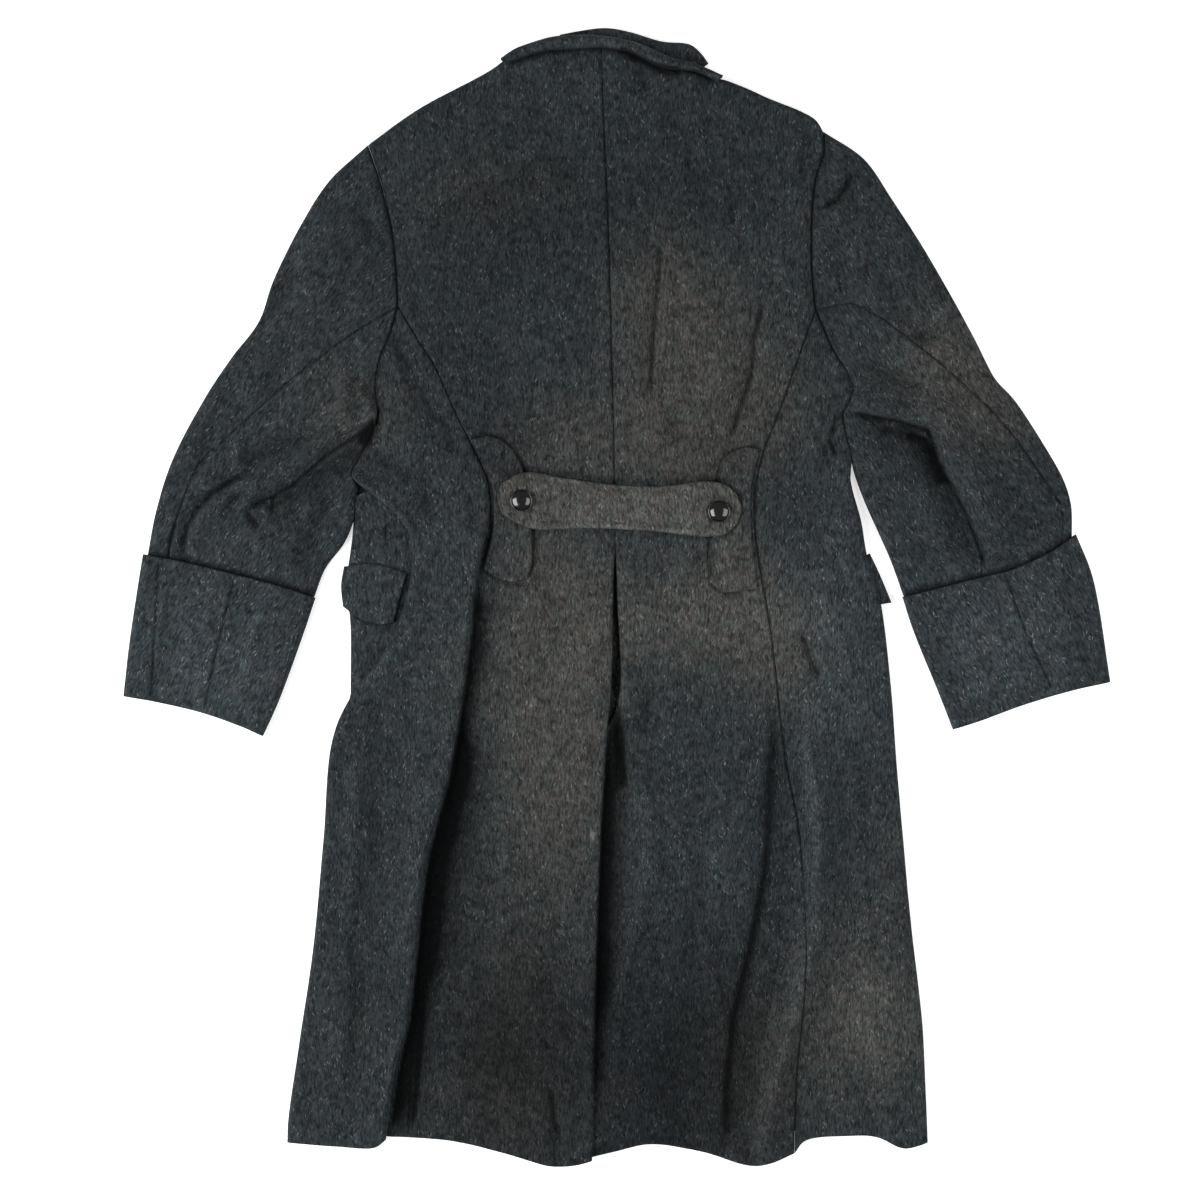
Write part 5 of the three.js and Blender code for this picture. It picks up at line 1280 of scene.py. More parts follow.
class Fronts:
    """The fronts that the coat lies on, and the left one's edge that turns up beside the pocket."""

    lap_along_right = 95.0
    lap_along_left = 60.0
    hem_setback = 12.0

    def front_left(self) -> Cloth:
        """The left front, flat on the surface."""
        over = PlanLine.through(SHOULDER_RIGHT).part(0.0, self.lap_along_right)
        shoulder = PlanLine.joined(PlanLine.through(SHOULDER_LEFT), over)
        left = PlanLine.joined(PlanLine.through(ARMHOLE_LEFT), PlanLine.through(FRONT_EDGE_LEFT))
        right = straight(shoulder.dense[-1], np.array([LAP_HALF_WIDTH, FRONT_HEM]))
        outline = Outline(shoulder, straight(left.dense[-1], right.dense[-1]), left, right)
        faces = panel_faces(outline, {}, level(FLOOR_TOP), cell=HIDDEN_CELL)
        return Cloth("cloth_front_left", ("front_left",), *faces, cut=(0.42, 1.14), area=0.40)

    def front_right(self) -> Cloth:
        """The right front, lapped over the left one in the middle."""
        whole = PlanLine.through(SHOULDER_LEFT)
        over = whole.part(whole.length - self.lap_along_left)
        shoulder = PlanLine.joined(over, PlanLine.through(SHOULDER_RIGHT))
        side = PlanLine.through(SIDE_RIGHT)
        side = side.part(0.0, side.length - self.hem_setback)
        right = PlanLine.joined(PlanLine.through(FRONT_ARMHOLE_RIGHT), side)
        left = straight(shoulder.dense[0], np.array([-LAP_HALF_WIDTH, FRONT_HEM]))
        outline = Outline(shoulder, straight(left.dense[-1], right.dense[-1]), left, right)

        def height(place: Array) -> Array:
            """Flat on the left front in the middle, and down on the surface beyond its edge."""
            share = smooth((LAP_DOWN_BY - place[..., 0]) / (LAP_DOWN_BY - LAP_RAISED_TO))
            return blend(FLOOR_TOP, LAPPED_TOP, share)

        faces = panel_faces(outline, {}, height, cell=HIDDEN_CELL)
        return Cloth("cloth_front_right", ("front_right",), *faces, cut=(0.42, 1.14), area=0.41,
                     rests_on=("front_left",))

    def wrap_left(self) -> Cloth:
        """The left front's side edge, turned up where the side panel has slid back from it."""
        outline = Outline.of(WRAP_TOP_EDGE, WRAP_BOTTOM, WRAP_LEFT, WRAP_RIGHT)
        edges = {
            Side.LEFT: Edge.ROLLED, Side.TOP: Edge.FREE, Side.BOTTOM: Edge.FREE, Side.RIGHT: Edge.FREE,
        }
        rolls = {Side.LEFT: Roll(level(FOOT))}
        faces = panel_faces(outline, edges, level(WRAP_TOP), rolls, cell=SMALL_CELL)
        return Cloth("cloth_front_wrap_left", ("front_wrap_left",), *faces, cut=(0.08, 0.21), area=0.0125,
                     rests_on=("front_left",), held=Held.FOLDED)

    def pieces(self) -> list[Cloth]:
        """The two fronts and the turned edge."""
        return [self.front_left(), self.front_right(), self.wrap_left()]


@dataclass
class Sleeve:
    """One two-piece sleeve, laid flat, and its turned-back cuff.

    Args:
        arm: Which arm.
        outer: Outline of the outer edge.
        inner: Outline of the inner edge.
        elbow: The seam along the elbow.
        cuff_edges: The cuff's top, bottom, outer and inner edge.
    """

    arm: Arm
    outer: Table
    inner: Table
    elbow: Table
    cuff_edges: tuple[Table, Table, Table, Table]
    cuff_wall: float = 5.6
    cuff_proud: float = 3.0
    cuff_lowest: float = 14.6
    inner_setback: float = 2.0

    def __post_init__(self) -> None:
        self.wrist = PlanLine.through(self.cuff_edges[0])
        self.inner_end = self.wrist.length - self.inner_setback
        self.hole = Armhole(self.arm)

    def edge_to(self, table: Table, along: float) -> PlanLine:
        """Returns a sleeve edge that ends a given length along the cuff's top."""
        return PlanLine.through((*table, tuple(self.wrist.at(np.array(along)))))

    def topsleeve(self) -> Cloth:
        """The topsleeve, from the elbow seam round the outer edge and back underneath to the inner edge.

        The outer edge is a half circle. Beyond it the lower layer lies on the surface.
        """
        elbow_end = ELBOW_ON_CUFF[self.arm]
        outer_edge = self.edge_to(self.outer, SLEEVE_FROM_CUFF_CORNER)
        upper = Outline(
            self.hole.upper,
            self.wrist.part(SLEEVE_FROM_CUFF_CORNER, elbow_end),
            outer_edge,
            self.edge_to(self.elbow, elbow_end),
        )
        floor = Outline(
            self.hole.line,
            self.wrist.part(SLEEVE_FROM_CUFF_CORNER, self.inner_end),
            outer_edge,
            self.edge_to(self.inner, self.inner_end),
        )
        ends = {Side.LEFT: Edge.ROLLED, Side.TOP: Edge.SEAM, Side.BOTTOM: Edge.WRIST}
        upper_plan, _ = upper.grid({**ends, Side.RIGHT: Edge.ELBOW}, SLEEVE_CELL)
        floor_plan, _ = floor.grid(ends, SLEEVE_CELL)
        rows = min(len(upper_plan), len(floor_plan))
        upper_plan, floor_plan = (thinned(plan, rows) for plan in (upper_plan, floor_plan))
        height = RELIEF.laid(upper_plan)
        over, over_back = tube_layer(upper_plan, height, 1.0, WALL, (Side.LEFT,))
        pressed(over, over_back, Side.TOP, Edge.SEAM, WALL)
        pressed(over, over_back, Side.RIGHT, Edge.ELBOW, WALL)
        crest = np.broadcast_to(height[:, len(ROLL_ANGLES) - 1, None], floor_plan.shape[:2])
        under, under_back = tube_layer(floor_plan, crest, -1.0, WALL, (Side.LEFT,))
        outer = np.concatenate([under[:, ::-1], over[:, 1:]], axis=1)
        inner = np.concatenate([under_back[:, ::-1], over_back[:, 1:]], axis=1)
        node = f"sleeve_{self.arm.value}_top"
        return Cloth(
            f"cloth_{node}", (node,), outer, inner, cut=(0.30, 0.52), area=0.098, held=Held.FOLDED
        )

    def undersleeve(self) -> Cloth:
        """The undersleeve, which lies uppermost along the inner edge."""
        start = ELBOW_ON_CUFF[self.arm]
        outline = Outline(
            self.hole.lower,
            self.wrist.part(start, self.inner_end),
            self.edge_to(self.elbow, start),
            self.edge_to(self.inner, self.inner_end),
        )
        edges = {
            Side.LEFT: Edge.ELBOW, Side.RIGHT: Edge.ROLLED, Side.TOP: Edge.SEAM, Side.BOTTOM: Edge.WRIST,
        }
        rolls = {Side.RIGHT: Roll(level(FOOT))}
        faces = panel_faces(outline, edges, RELIEF.laid, rolls, cell=SLEEVE_CELL)
        node = f"sleeve_{self.arm.value}_under"
        return Cloth(f"cloth_{node}", (node,), *faces, cut=(0.16, 0.40), area=0.045,
                     rests_on=(f"sleeve_{self.arm.value}_top",))

    def cuff(self) -> Cloth:
        """The turned-back cuff, a flattened tube of double cloth.

        Each side edge is a half circle whose radius is half the height of the cuff beside it.
        """
        edges = {
            Side.LEFT: Edge.ROLLED, Side.RIGHT: Edge.ROLLED, Side.TOP: Edge.FREE, Side.BOTTOM: Edge.FREE,
        }
        plan, _ = Outline.of(*self.cuff_edges).grid(edges, SMALL_CELL)
        height = np.maximum(self.cuff_lowest, RELIEF.laid(plan) + self.cuff_proud)
        layers = []
        for sign in (1.0, -1.0):
            faces = tube_layer(plan, height, sign, self.cuff_wall, (Side.LEFT, Side.RIGHT))
            for side in (Side.TOP, Side.BOTTOM):
                pressed(*faces, side, Edge.FREE, self.cuff_wall, sign)
            layers.append(faces)
        outer, inner = (
            np.concatenate([over, under[:, -2:0:-1]], axis=1) for over, under in zip(*layers)
        )
        node = f"cuff_{self.arm.value}"
        return Cloth(f"cloth_{node}", (node,), outer, inner,
                     cut=(0.36, 0.16), area=0.055, held=Held.FOLDED, loop=True)

    def pieces(self) -> list[Cloth]:
        """Topsleeve, undersleeve and cuff."""
        return [self.topsleeve(), self.undersleeve(), self.cuff()]


def thinned(grid: Array, rows: int) -> Array:
    """Returns a grid with the given number of rows, its first and last rows and lanes kept."""
    if len(grid) == rows:
        return grid
    lanes = len(Edge.SEAM.value)
    shares = np.linspace(lanes, len(grid) - lanes - 1, rows - 2 * lanes)
    places = np.concatenate([np.arange(lanes), shares, np.arange(len(grid) - lanes, len(grid))])
    low = np.floor(places).astype(int)
    high = np.minimum(low + 1, len(grid) - 1)
    return blend(grid[low], grid[high], (places - low)[:, None, None])


class Trimmings:
    """Half belt, tabs and pocket flaps, each lying on what carries it."""

    step = SEAT + WALL
    belt_under_from = 70.0
    belt_under_to = 84.0
    all_free = {side: Edge.FREE for side in Side}

    def belt_height(self, place: Array) -> Array:
        """Returns the belt's height: it lies on the back, and on the tabs at its ends."""
        fade = self.belt_under_to - self.belt_under_from
        over = smooth((np.abs(place[..., 0]) - self.belt_under_from) / fade)
        rim = sum(fold.rise * fold.spread(place) for fold in BELT_FOLDS)
        return RELIEF.laid(place) + self.step + over * self.step + rim

    def half_belt(self) -> Cloth:
        """The half belt across the waist."""
        outline = Outline.of(BELT_TOP, BELT_BOTTOM, BELT_LEFT_END, BELT_RIGHT_END)
        faces = panel_faces(outline, self.all_free, self.belt_height, cell=SMALL_CELL)
        return Cloth("cloth_half_belt", ("half_belt",), *faces, cut=(0.256, 0.058), area=0.0131,
                     rests_on=("tab_left", "tab_right", "back_left", "back_right"), slot="belt_wool",
                     painted_shade_folds=BELT_FOLDS)

    def tabs(self) -> list[Cloth]:
        """The two tabs that the belt's ends lie on."""
        rows = (
            ("tab_left", TAB_LEFT_TOP, TAB_LEFT_BOTTOM, TAB_LEFT_OUTER, TAB_LEFT_INNER,
             RELIEF.back_left, "back_left"),
            ("tab_right", TAB_RIGHT_TOP, TAB_RIGHT_BOTTOM, TAB_RIGHT_INNER, TAB_RIGHT_OUTER,
             RELIEF.back_right, "back_right"),
        )
        made = []
        for name, top, bottom, left, right, below, carrier in rows:
            outline = Outline.of(top, bottom, left, right)
            faces = panel_faces(outline, self.all_free, raised(below, self.step), cell=SMALL_CELL)
            made.append(Cloth(f"cloth_{name}", (name,), *faces, cut=(0.055, 0.152), area=0.0064,
                              rests_on=(carrier,), slot="belt_wool"))
        return made

    def flaps(self) -> list[Cloth]:
        """The left pocket flap, and the edge of the right one that shows beside the side panel."""
        left = Outline.of(FLAP_LEFT_TOP, FLAP_LEFT_BOTTOM, FLAP_LEFT_OUTER, FLAP_LEFT_INNER)
        right = Outline.of(
            (FLAP_RIGHT_INNER[0], FLAP_RIGHT_OUTER[0]),
            (FLAP_RIGHT_INNER[-1], FLAP_RIGHT_OUTER[-1]),
            FLAP_RIGHT_INNER,
            FLAP_RIGHT_OUTER,
        )
        rows = (
            ("flap_left", left, WRAP_TOP, (0.066, 0.062), 0.0034, "front_wrap_left"),
            ("flap_right", right, FOOT, (0.014, 0.046), 0.0005, "front_right"),
        )
        made = []
        for name, outline, below, flat, area, carrier in rows:
            height = level(below + SEAM_GAP + WALL)
            faces = panel_faces(outline, self.all_free, height, cell=SMALL_CELL)
            made.append(Cloth(f"cloth_{name}", (name,), *faces, cut=flat, area=area, rests_on=(carrier,)))
        return made


class Collar:
    """The collar: a thick rolled band over the neck edge, and a leaf that shows beyond it."""

    crest = 23.0
    leaf_top = 9.0
    leaf_from = -80.0
    leaf_to = 100.0
    drop = 11.0
    upright = 1.0
    profile = (
        (0.0, 0.0), (0.05, 0.3), (0.14, 0.62), (0.24, 0.83), (0.34, 0.94), (0.45, 0.99), (0.56, 1.0),
    )
    turn = np.radians(np.arange(10.0, 91.0, 10.0))
    columns = 150

    def band(self) -> Cloth:
        """The rolled band.

        Across its width the height follows the profile up to the crest, then a quarter ellipse down
        towards the foot. The inner face is one thickness in along the section's normal.
        """
        shares = np.linspace(0.0, 1.0, self.columns)
        low_line, high_line = PlanLine.through(NECK_LOW), PlanLine.through(NECK_HIGH)
        low = low_line.at(shares * low_line.length)
        high = high_line.at(shares * high_line.length)
        width = np.linalg.norm(high - low, axis=1)
        ahead = (high - low) / width[:, None]
        start = RELIEF.laid(low) + SEAT + COLLAR_WALL
        over_leaf = (low[:, 0] > self.leaf_from) & (low[:, 0] < self.leaf_to)
        foot = np.where(over_leaf, self.leaf_top + SEAM_GAP, FOOT)
        profile = np.array(self.profile)
        crest_at = profile[-1, 0] * width
        drop = np.minimum(self.drop, self.crest - foot - self.upright)
        across = np.concatenate([
            profile[:, 0] * width[:, None],
            crest_at[:, None] + (width - crest_at)[:, None] * np.sin(self.turn),
            width[:, None],
        ], axis=1)
        rise = np.concatenate([
            blend(start[:, None], self.crest, profile[:, 1]),
            self.crest - drop[:, None] * (1 - np.cos(self.turn)),
            foot[:, None],
        ], axis=1)
        slope = unit(np.stack([np.gradient(across, axis=1), np.gradient(rise, axis=1)], axis=-1))
        back_across = across + slope[..., 1] * COLLAR_WALL
        back_rise = rise - slope[..., 0] * COLLAR_WALL
        back_across[:, 0], back_rise[:, 0] = across[:, 0], rise[:, 0] - COLLAR_WALL
        back_across[:, -1], back_rise[:, -1] = across[:, -1] - COLLAR_WALL, rise[:, -1]
        faces = [
            np.dstack([low[:, None] + ahead[:, None] * flat[..., None], tall])
            for flat, tall in ((across, rise), (back_across, back_rise))
        ]
        return Cloth("cloth_collar_band", ("collar_roll",), *faces, cut=(0.25, 0.04), area=0.0085,
                     rests_on=("back_left", "back_right", "collar_leaf"), held=Held.FOLDED)

    def leaf(self) -> Cloth:
        """The leaf, which stands on the surface behind the band and turns under it."""
        outline = Outline(
            PlanLine.through(LEAF_HIGH), PlanLine.through(LEAF_LOW),
            straight(np.array(LEAF_HIGH[0], float), np.array(LEAF_LOW[0], float)),
            straight(np.array(LEAF_HIGH[-1], float), np.array(LEAF_LOW[-1], float)),
        )
        rolls = {Side.TOP: Roll(level(0.0))}
        faces = panel_faces(
            outline, {Side.TOP: Edge.ROLLED}, level(self.leaf_top), rolls, COLLAR_WALL, SMALL_CELL
        )
        return Cloth("cloth_collar_leaf", ("collar_leaf",), *faces, cut=(0.19, 0.03), area=0.0035,
                     held=Held.FOLDED)

    def pieces(self) -> list[Cloth]:
        """Band and leaf."""
        return [self.band(), self.leaf()]


@dataclass(frozen=True)
class BeltButton:
    """A plain glossy button, a low dome inside a raised rim."""

    name: str
    node: str
    place: Point
    radius: float = 11.5
    height: float = 6.5
    rim: float = 1.6
    rim_share: float = 0.45
    rim_rise: float = 0.9
    dome_sunk: float = 0.5
    underside_corner: float = 1.0
    bevel: float = 0.3
    middle: float = 0.01
    turns: int = 72
    seat_degrees = range(0, 360, 45)
    lip_degrees = np.linspace(0.0, 180.0, 9)
    dome_degrees = np.linspace(8.0, 88.0, 14)

    def build(self, seat_height: Height, finish: bpy.types.Material) -> bpy.types.Object:
        """Turns the button's profile about its axis and seats it on the belt.

        Args:
            seat_height: Height of the belt under it.
            finish: The button's material.

        Returns:
            The button, riding on the coat.
        """
        around = np.radians(self.seat_degrees)
        around = np.array(self.place) + self.radius * np.column_stack([np.cos(around), np.sin(around)])
        seat = float(seat_height(around).max()) + SEAM_GAP
        rim_top, dome, half = self.height * self.rim_share, self.radius - self.rim, self.rim / 2
        lip, rise = np.radians(self.lip_degrees), np.radians(self.dome_degrees)
        radii = [self.middle, self.radius - self.underside_corner, self.radius - self.bevel, self.radius]
        radii += [*(self.radius - half + half * np.cos(lip)), *(dome * np.cos(rise))]
        tall = [0.0, 0.0, self.bevel, self.underside_corner]
        tall += [*(rim_top - self.rim_rise + self.rim_rise * np.sin(lip))]
        tall += [*(rim_top - self.dome_sunk + (self.height - rim_top + self.dome_sunk) * np.sin(rise))]
        turn = np.linspace(0.0, 2 * np.pi, self.turns, endpoint=False)
        points = np.stack([
            self.place[0] + np.outer(radii, np.cos(turn)),
            self.place[1] + np.outer(radii, np.sin(turn)),
            seat + np.outer(tall, np.ones(self.turns)),
        ], axis=-1)
        ends = np.array([[*self.place, seat], [*self.place, seat + self.height]])
        rows, count = points.shape[:2]
        index = np.arange(rows * count).reshape(rows, count)
        index = np.concatenate([index, index[:, :1]], axis=1)
        walls = cells(index[:-1, :-1], index[:-1, 1:], index[1:, 1:], index[1:, :-1])
        foot, tip = rows * count, rows * count + 1
        halves = np.concatenate([walls[:, [0, 1, 2]], walls[:, [0, 2, 3]]])
        low = np.column_stack([index[0, 1:], index[0, :-1], np.full(count, foot)])
        high = np.column_stack([index[-1, :-1], index[-1, 1:], np.full(count, tip)])
        piece = mesh_object(
            self.name, np.concatenate([points.reshape(-1, 3), ends]), np.concatenate([halves, low, high])
        )
        piece.data.materials.append(finish)
        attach(piece, BODY)
        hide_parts(self.node)
        log.info("%s: seated at %.1f mm", piece.name, seat)
        return piece


class Board:
    """A material's node tree, with short calls that add a node and wire it."""

    def __init__(self, name: str) -> None:
        self.material = bpy.data.materials.new(name)
        self.material.use_nodes = True
        self.tree = self.material.node_tree
        self.shader = self.tree.nodes["Principled BSDF"]

    def add(
        self, kind: str, inputs: dict[int | str, object] | None = None, **settings: object
    ) -> bpy.types.Node:
        """Adds a node, sets its properties, and sets or links its inputs.

        Args:
            kind: The node's type, without the leading ShaderNode.
            inputs: Values or sockets for its inputs, by name or number.
            **settings: Properties of the node.

        Returns:
            The node.
        """
        node = self.tree.nodes.new(f"ShaderNode{kind}")
        for key, value in settings.items():
            setattr(node, key, value)
        for key, value in (inputs or {}).items():
            if isinstance(value, bpy.types.NodeSocket):
                self.tree.links.new(value, node.inputs[key])
            else:
                node.inputs[key].default_value = value
        return node

    def times(self, first: object, second: object) -> bpy.types.NodeSocket:
        """Multiplies two values."""
        return self.add("Math", {0: first, 1: second}, operation="MULTIPLY").outputs[0]

    def total(self, *parts: tuple[object, float], start: float = 0.0) -> bpy.types.NodeSocket:
        """Adds up values, each times its weight, and a start."""
        result: object = start
        for value, weight in parts:
            result = self.add("Math", {0: value, 1: weight, 2: result}, operation="MULTIPLY_ADD").outputs[0]
        return result

    def ranged(
        self, value: object, low: float, high: float, start: float = 0.0, end: float = 1.0
    ) -> bpy.types.NodeSocket:
        """Maps a value from one range to another, smoothly, and holds it there."""
        inputs = {0: value, 1: low, 2: high, 3: start, 4: end}
        return self.add("MapRange", inputs, interpolation_type="SMOOTHSTEP").outputs[0]

    def noise(
        self, vector: object, scale: float, detail: float = 2.0, rough: float = 0.5
    ) -> bpy.types.NodeSocket:
        """Adds a noise texture and returns its value."""
        node = self.add(
            "TexNoise", {"Vector": vector, "Scale": scale, "Detail": detail, "Roughness": rough}
        )
        return node.outputs[0]

    def mixed(
        self, share: object, first: object, second: object, kind: str = "MIX"
    ) -> bpy.types.NodeSocket:
        """Mixes two colours."""
        node = self.add("Mix", {0: share, 6: first, 7: second}, data_type="RGBA", blend_type=kind)
        return node.outputs[2]

    def wire(self, value: bpy.types.NodeSocket, target: str) -> None:
        """Links a value to an input of the shader."""
        self.tree.links.new(value, self.shader.inputs[target])

    def settle(self, values: dict[str, object]) -> None:
        """Sets inputs of the shader to plain values, by name."""
        for name, value in values.items():
            self.shader.inputs[name].default_value = value


# Noise in the wool: how its length along the nap is scaled, then its scale, detail and roughness
WOOL_NOISE = {
    "tuft": (0.45, 300.0, 3.0, 0.65),
    "strand": (0.22, 640.0, 3.0, 0.75),
    "cloud": (1.0, 62.0, 3.0, 0.6),
    "drift": (1.0, 9.0, 2.0, 0.5),
    "tinge": (1.0, 88.0, 2.0, 0.55),
    "patch": (1.0, 135.0, 2.0, 0.55),
}

# Which noise makes up the yarn mix, the ragged edge of worn places, light and dark areas, and the nap
HEATHER = {"tuft": 0.20, "patch": 0.18, "strand": 0.62}
RAGGED = {"cloud": 0.7, "tuft": 0.5}
CLOUDED = {"cloud": 0.8, "drift": 0.5}
NAPPED = {"tuft": 0.5, "strand": 0.3, "cloud": 1.0, "patch": 0.6}

HEATHER_RANGE = (0.36, 0.67)
WORN_LESS_BY = 0.6
WORN_RANGE = (-0.1, 1.1)
TINGE_RANGE = (0.38, 0.62)
COOL_TINT = (0.94, 1.02, 1.00, 1)
WARM_TINT = (1.03, 0.985, 0.97, 1)
CLOUDED_START = 0.35
BUMP = {"Strength": 0.65, "Distance": 0.0017}
WOOL_SURFACE = {
    "Roughness": 0.97,
    "Specular IOR Level": 0.06,
    "Sheen Weight": 0.05,
    "Sheen Roughness": 0.6,
    "Sheen Tint": (0.35, 0.38, 0.40, 1),
}

# Pale fibres: the angle from the nap and the scale of each layer, how narrow they are, which cells are
# chosen and how strongly they show, and how they fade away from a cell's middle
FLECK_LAYERS = ((-28.0, 640.0), (5.0, 760.0), (36.0, 700.0))
FLECK_STRETCH = 0.2
FLECK_CHOSEN = (0.90, 1.0, 0.0, 0.5)
FLECK_FADE = (0.10, 0.42, 1.0, 0.0)


@dataclass(frozen=True)
class WoolFinish:
    """Thick felted wool: a heathered yarn mix under a nap that lies along the cloth, worn brown in places.

    Args:
        name: The material's name.
        grain: How far the nap is turned from straight up the coat, in degrees.
        dark: Darkest fibres of the mix.
        pale: Palest fibres of the mix.
        worn_dark: Darkest fibres where the cloth is worn brown.
        worn_pale: Palest fibres there.
        fleck: Pale fibres that lie on top.
        worn_share: How much of the cloth is worn all over.
        brightness: What the whole colour is multiplied by.
    """

    name: str
    grain: float = 0.0
    dark: Colour = (0.0055, 0.0069, 0.0080)
    pale: Colour = (0.0350, 0.0412, 0.0465)
    worn_dark: Colour = (0.0110, 0.0109, 0.0102)
    worn_pale: Colour = (0.0630, 0.0622, 0.0585)
    fleck: Colour = (0.205, 0.213, 0.205)
    worn_share: float = 0.0
    brightness: float = 1.0

    def make(self) -> bpy.types.Material:
        """Builds the material from noise that is stretched along the nap."""
        board = Board(self.name)
        place = board.add("TexCoord").outputs["Object"]
        noise = {
            name: board.noise(self.turned(board, place, self.grain, stretch), *settings)
            for name, (stretch, *settings) in WOOL_NOISE.items()
        }
        worn_at, tone = (
            board.add("Attribute", attribute_name=name).outputs["Fac"] for name in ("worn", "tone")
        )
        share = board.ranged(board.total(*weighed(noise, HEATHER)), *HEATHER_RANGE)
        fresh = board.mixed(share, (*self.dark, 1), (*self.pale, 1))
        worn = board.mixed(share, (*self.worn_dark, 1), (*self.worn_pale, 1))
        start = self.worn_share - WORN_LESS_BY
        ragged = board.total((worn_at, 1.0), *weighed(noise, RAGGED), start=start)
        colour = board.mixed(board.ranged(ragged, *WORN_RANGE), fresh, worn)
        tint = board.mixed(board.ranged(noise["tinge"], *TINGE_RANGE), COOL_TINT, WARM_TINT)
        colour = board.mixed(1.0, colour, tint, "MULTIPLY")
        for angle, scale in FLECK_LAYERS:
            fibre = self.turned(board, place, self.grain + angle, FLECK_STRETCH)
            colour = board.mixed(self.flecks(board, fibre, scale), colour, (*self.fleck, 1))
        light = board.total(*weighed(noise, CLOUDED), start=CLOUDED_START)
        # The tone attribute brings the folds' painted shade and painted highlights, with the paler and
        # darker places, into this multiplier of the colour.
        light = board.times(board.times(light, tone), self.brightness)
        grey = board.add("CombineColor", {0: light, 1: light, 2: light}).outputs[0]
        board.wire(board.mixed(1.0, colour, grey, "MULTIPLY"), "Base Color")
        nap = board.total(*weighed(noise, NAPPED))
        board.wire(board.add("Bump", {**BUMP, "Height": nap}).outputs[0], "Normal")
        board.settle(WOOL_SURFACE)
        return board.material

    def turned(
        self, board: Board, place: bpy.types.NodeSocket, angle: float, stretch: float
    ) -> bpy.types.NodeSocket:
        """Returns coordinates turned by degrees, in which a pattern is drawn out along the nap."""
        turn = {"Vector": place, "Rotation": (0.0, 0.0, math.radians(-angle))}
        straightened = board.add("Mapping", turn).outputs[0]
        return board.add("Mapping", {"Vector": straightened, "Scale": (1.0, stretch, 1.0)}).outputs[0]

    def flecks(self, board: Board, fibre: bpy.types.NodeSocket, scale: float) -> bpy.types.NodeSocket:
        """Returns where short pale fibres lie: the middles of a few stretched cells."""
        cell = board.add("TexVoronoi", {"Vector": fibre, "Scale": scale, "Randomness": 1.0})
        chosen = board.add("SeparateColor", {0: cell.outputs["Color"]}).outputs[0]
        picked = board.ranged(chosen, *FLECK_CHOSEN)
        return board.times(picked, board.ranged(cell.outputs["Distance"], *FLECK_FADE))


def weighed(values: dict[str, object], weights: dict[str, float]) -> list[tuple[object, float]]:
    """Pairs each named value with its weight."""
    return [(values[name], weight) for name, weight in weights.items()]


@dataclass(frozen=True)
class GlossFinish:
    """Glossy black moulded button, with a slightly uneven gloss."""

    name: str
    colour: Colour = (0.002, 0.002, 0.002)
    hazy: Colour = (0.005, 0.005, 0.005)
    grime = (380.0, 3.0, 0.6)
    hazy_range = (0.35, 0.75)
    roughness = (0.3, 0.8, 0.10, 0.24)

    def make(self) -> bpy.types.Material:
        """Builds the material, rougher where fine noise is high."""
        board = Board(self.name)
        grime = board.noise(board.add("TexCoord").outputs["Object"], *self.grime)
        haze = board.ranged(grime, *self.hazy_range)
        board.wire(board.mixed(haze, (*self.colour, 1), (*self.hazy, 1)), "Base Color")
        board.wire(board.ranged(grime, *self.roughness), "Roughness")
        board.settle({"Coat Weight": 0.6, "Coat Roughness": 0.06})
        return board.material


@dataclass(frozen=True)
class PlainFinish:
    """A matt finish with faint mottling, for the floor."""

    name: str
    colour: Colour
    spread: float = 0.03
    scale: float = 6.0
    glow: float = 0.0
    mottled = (0.3, 0.7)

    def make(self) -> bpy.types.Material:
        """Builds the material."""
        board = Board(self.name)
        place = board.add("TexCoord").outputs["Object"]
        shade = board.ranged(board.noise(place, self.scale), *self.mottled)
        lower = tuple(value * (1 - self.spread) for value in self.colour)
        board.wire(board.mixed(shade, (*lower, 1), (*self.colour, 1)), "Base Color")
        board.settle({
            "Roughness": 0.9,
            "Specular IOR Level": 0.1,
            "Emission Color": (*self.colour, 1),
            "Emission Strength": self.glow,
        })
        return board.material


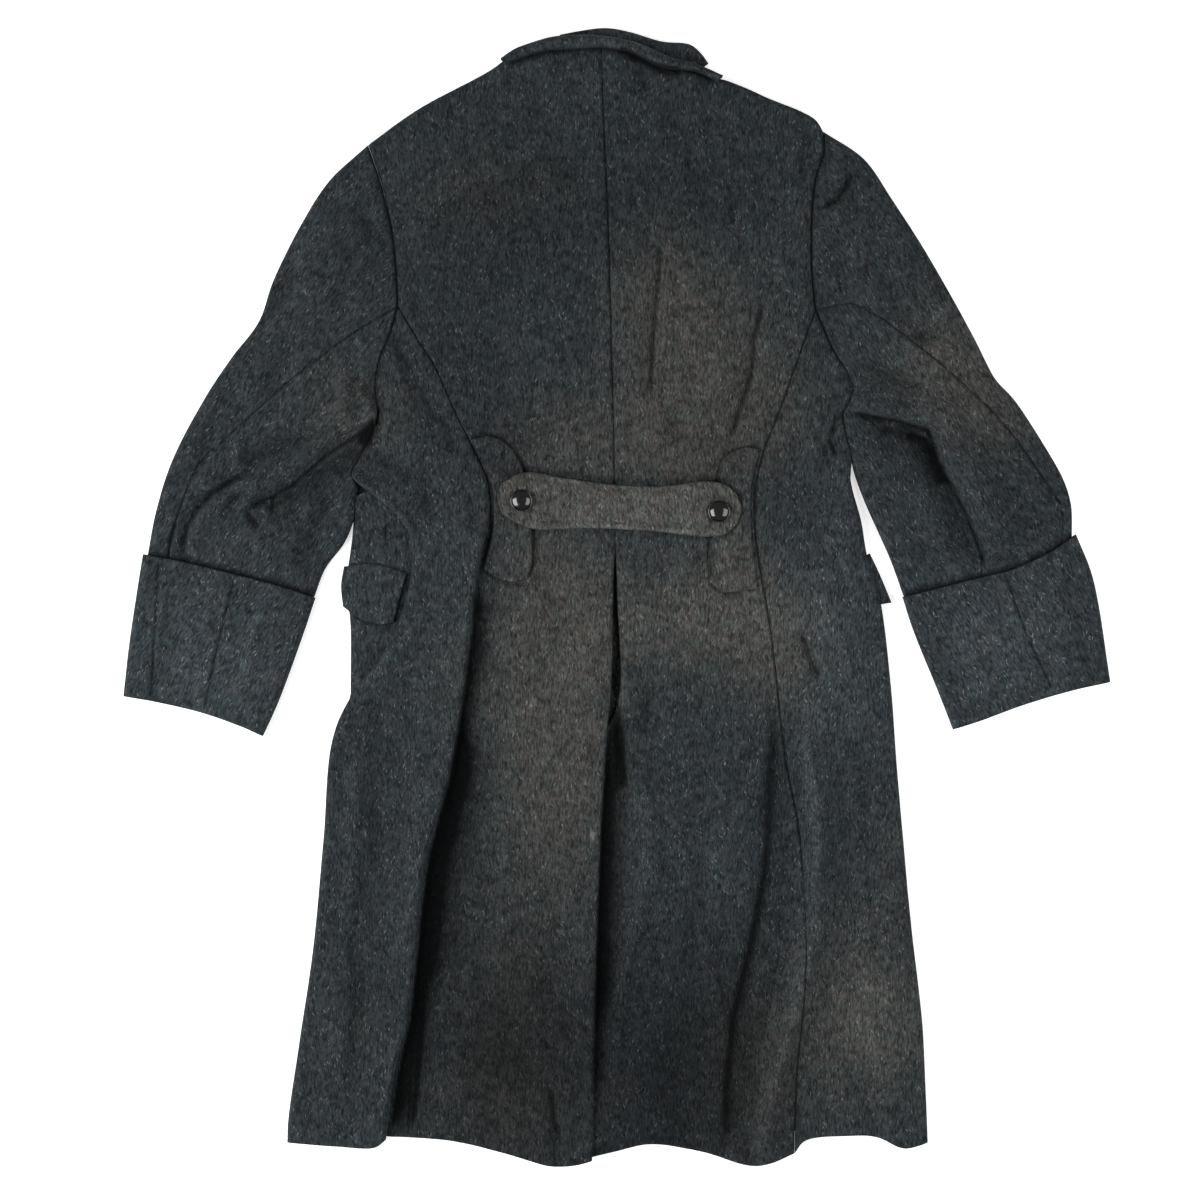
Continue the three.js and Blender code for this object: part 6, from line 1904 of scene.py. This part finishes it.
@dataclass(frozen=True)
class Studio:
    """Pale floor, soft lights on both sides and a camera that looks straight down."""

    view_width: float = 1.260
    view_across: float = -0.01785
    view_up: float = -0.00315
    camera_height: float = 4.2
    sensor: float = 36.0
    floor_size: float = 14.0
    floor_drop: float = 0.0005
    room_colour = (0.95, 0.97, 1.0, 1.0)
    room_strength: float = 0.22
    lamp_aspect: float = 0.85
    boxes = (
        ("left_box", (-2.1, -0.45, 1.5), 2.6, 124.0),
        ("right_box", (2.1, -0.30, 1.6), 2.6, 60.0),
    )

    def build(self) -> None:
        """Sets up the whole studio."""
        self.floor()
        self.lights()
        self.camera()
        bpy.context.scene.view_settings.view_transform = "Standard"

    def floor(self) -> None:
        """Lays the floor just under the coat."""
        half = self.floor_size / 2
        mesh = bpy.data.meshes.new("studio_floor")
        corners = [
            (across * half, up * half, -self.floor_drop)
            for across, up in ((-1, -1), (1, -1), (1, 1), (-1, 1))
        ]
        mesh.from_pydata(corners, [], [(0, 1, 2, 3)])
        floor = bpy.data.objects.new("studio_floor", mesh)
        paper = PlainFinish("floor_paper", (0.86, 0.86, 0.855), spread=0.015, scale=3.0, glow=0.62)
        mesh.materials.append(paper.make())
        bpy.context.scene.collection.objects.link(floor)

    def lights(self) -> None:
        """Hangs a large soft box on either side, aimed at the coat, and fills the room softly."""
        for name, place, size, power in self.boxes:
            lamp = bpy.data.lights.new(name, "AREA")
            lamp.shape, lamp.energy = "RECTANGLE", power
            lamp.size, lamp.size_y = size * self.lamp_aspect, size
            light = bpy.data.objects.new(name, lamp)
            light.location = place
            light.rotation_mode = "QUATERNION"
            light.rotation_quaternion = look(-Vector(place))
            bpy.context.scene.collection.objects.link(light)
        world = bpy.data.worlds.new("studio_room")
        world.use_nodes = True
        background = world.node_tree.nodes["Background"]
        background.inputs["Color"].default_value = self.room_colour
        background.inputs["Strength"].default_value = self.room_strength
        bpy.context.scene.world = world

    def camera(self) -> None:
        """Points a long lens straight down, so that the picture is as wide as the photograph's frame."""
        lens = bpy.data.cameras.new("photo_camera")
        lens.sensor_width = self.sensor
        lens.lens = self.sensor * self.camera_height / self.view_width
        camera = bpy.data.objects.new("photo_camera", lens)
        camera.location = (self.view_across, self.view_up, self.camera_height)
        bpy.context.scene.collection.objects.link(camera)
        bpy.context.scene.camera = camera


def look(aim: Vector) -> Quaternion:
    """Returns the turn that points a light's own -Z along aim."""
    return aim.to_track_quat("-Z", "Y")


def main() -> None:
    """Builds the coat's pieces in order."""
    logging.basicConfig(level=logging.INFO, format="%(name)s: %(message)s")
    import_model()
    wool = WoolFinish("wool_body").make()
    left_wool = WoolFinish("wool_left_sleeve", grain=-26.0).make()
    right_wool = WoolFinish("wool_right_sleeve", grain=26.0).make()
    belt_wool = WoolFinish("wool_belt", grain=8.0, worn_share=0.8, brightness=1.42).make()
    gloss = GlossFinish("button_gloss").make()
    for cloth in Back().pieces() + Fronts().pieces():
        cloth.build(wool)
    left = Sleeve(Arm.LEFT, SLEEVE_LEFT_OUTER, SLEEVE_LEFT_INNER, ELBOW_LEFT,
                  (CUFF_LEFT_TOP, CUFF_LEFT_BOTTOM, CUFF_LEFT_OUTER, CUFF_LEFT_INNER))
    right = Sleeve(Arm.RIGHT, SLEEVE_RIGHT_OUTER, SLEEVE_RIGHT_INNER, ELBOW_RIGHT,
                   (CUFF_RIGHT_TOP, CUFF_RIGHT_BOTTOM, CUFF_RIGHT_OUTER, CUFF_RIGHT_INNER))
    for sleeve, finish in ((left, left_wool), (right, right_wool)):
        for cloth in sleeve.pieces():
            cloth.build(finish)
    trimmings = Trimmings()
    trimmings.half_belt().build(belt_wool)
    for cloth in trimmings.tabs() + trimmings.flaps() + Collar().pieces():
        cloth.build(wool)
    for button in (
        BeltButton("button_left_gloss", "button_left", place=(-100.0, 101.0)),
        BeltButton("button_right_gloss", "button_right", place=(106.5, 89.5)),
    ):
        button.build(trimmings.belt_height, gloss)
    Studio().build()


if __name__ == "__main__":
    main()
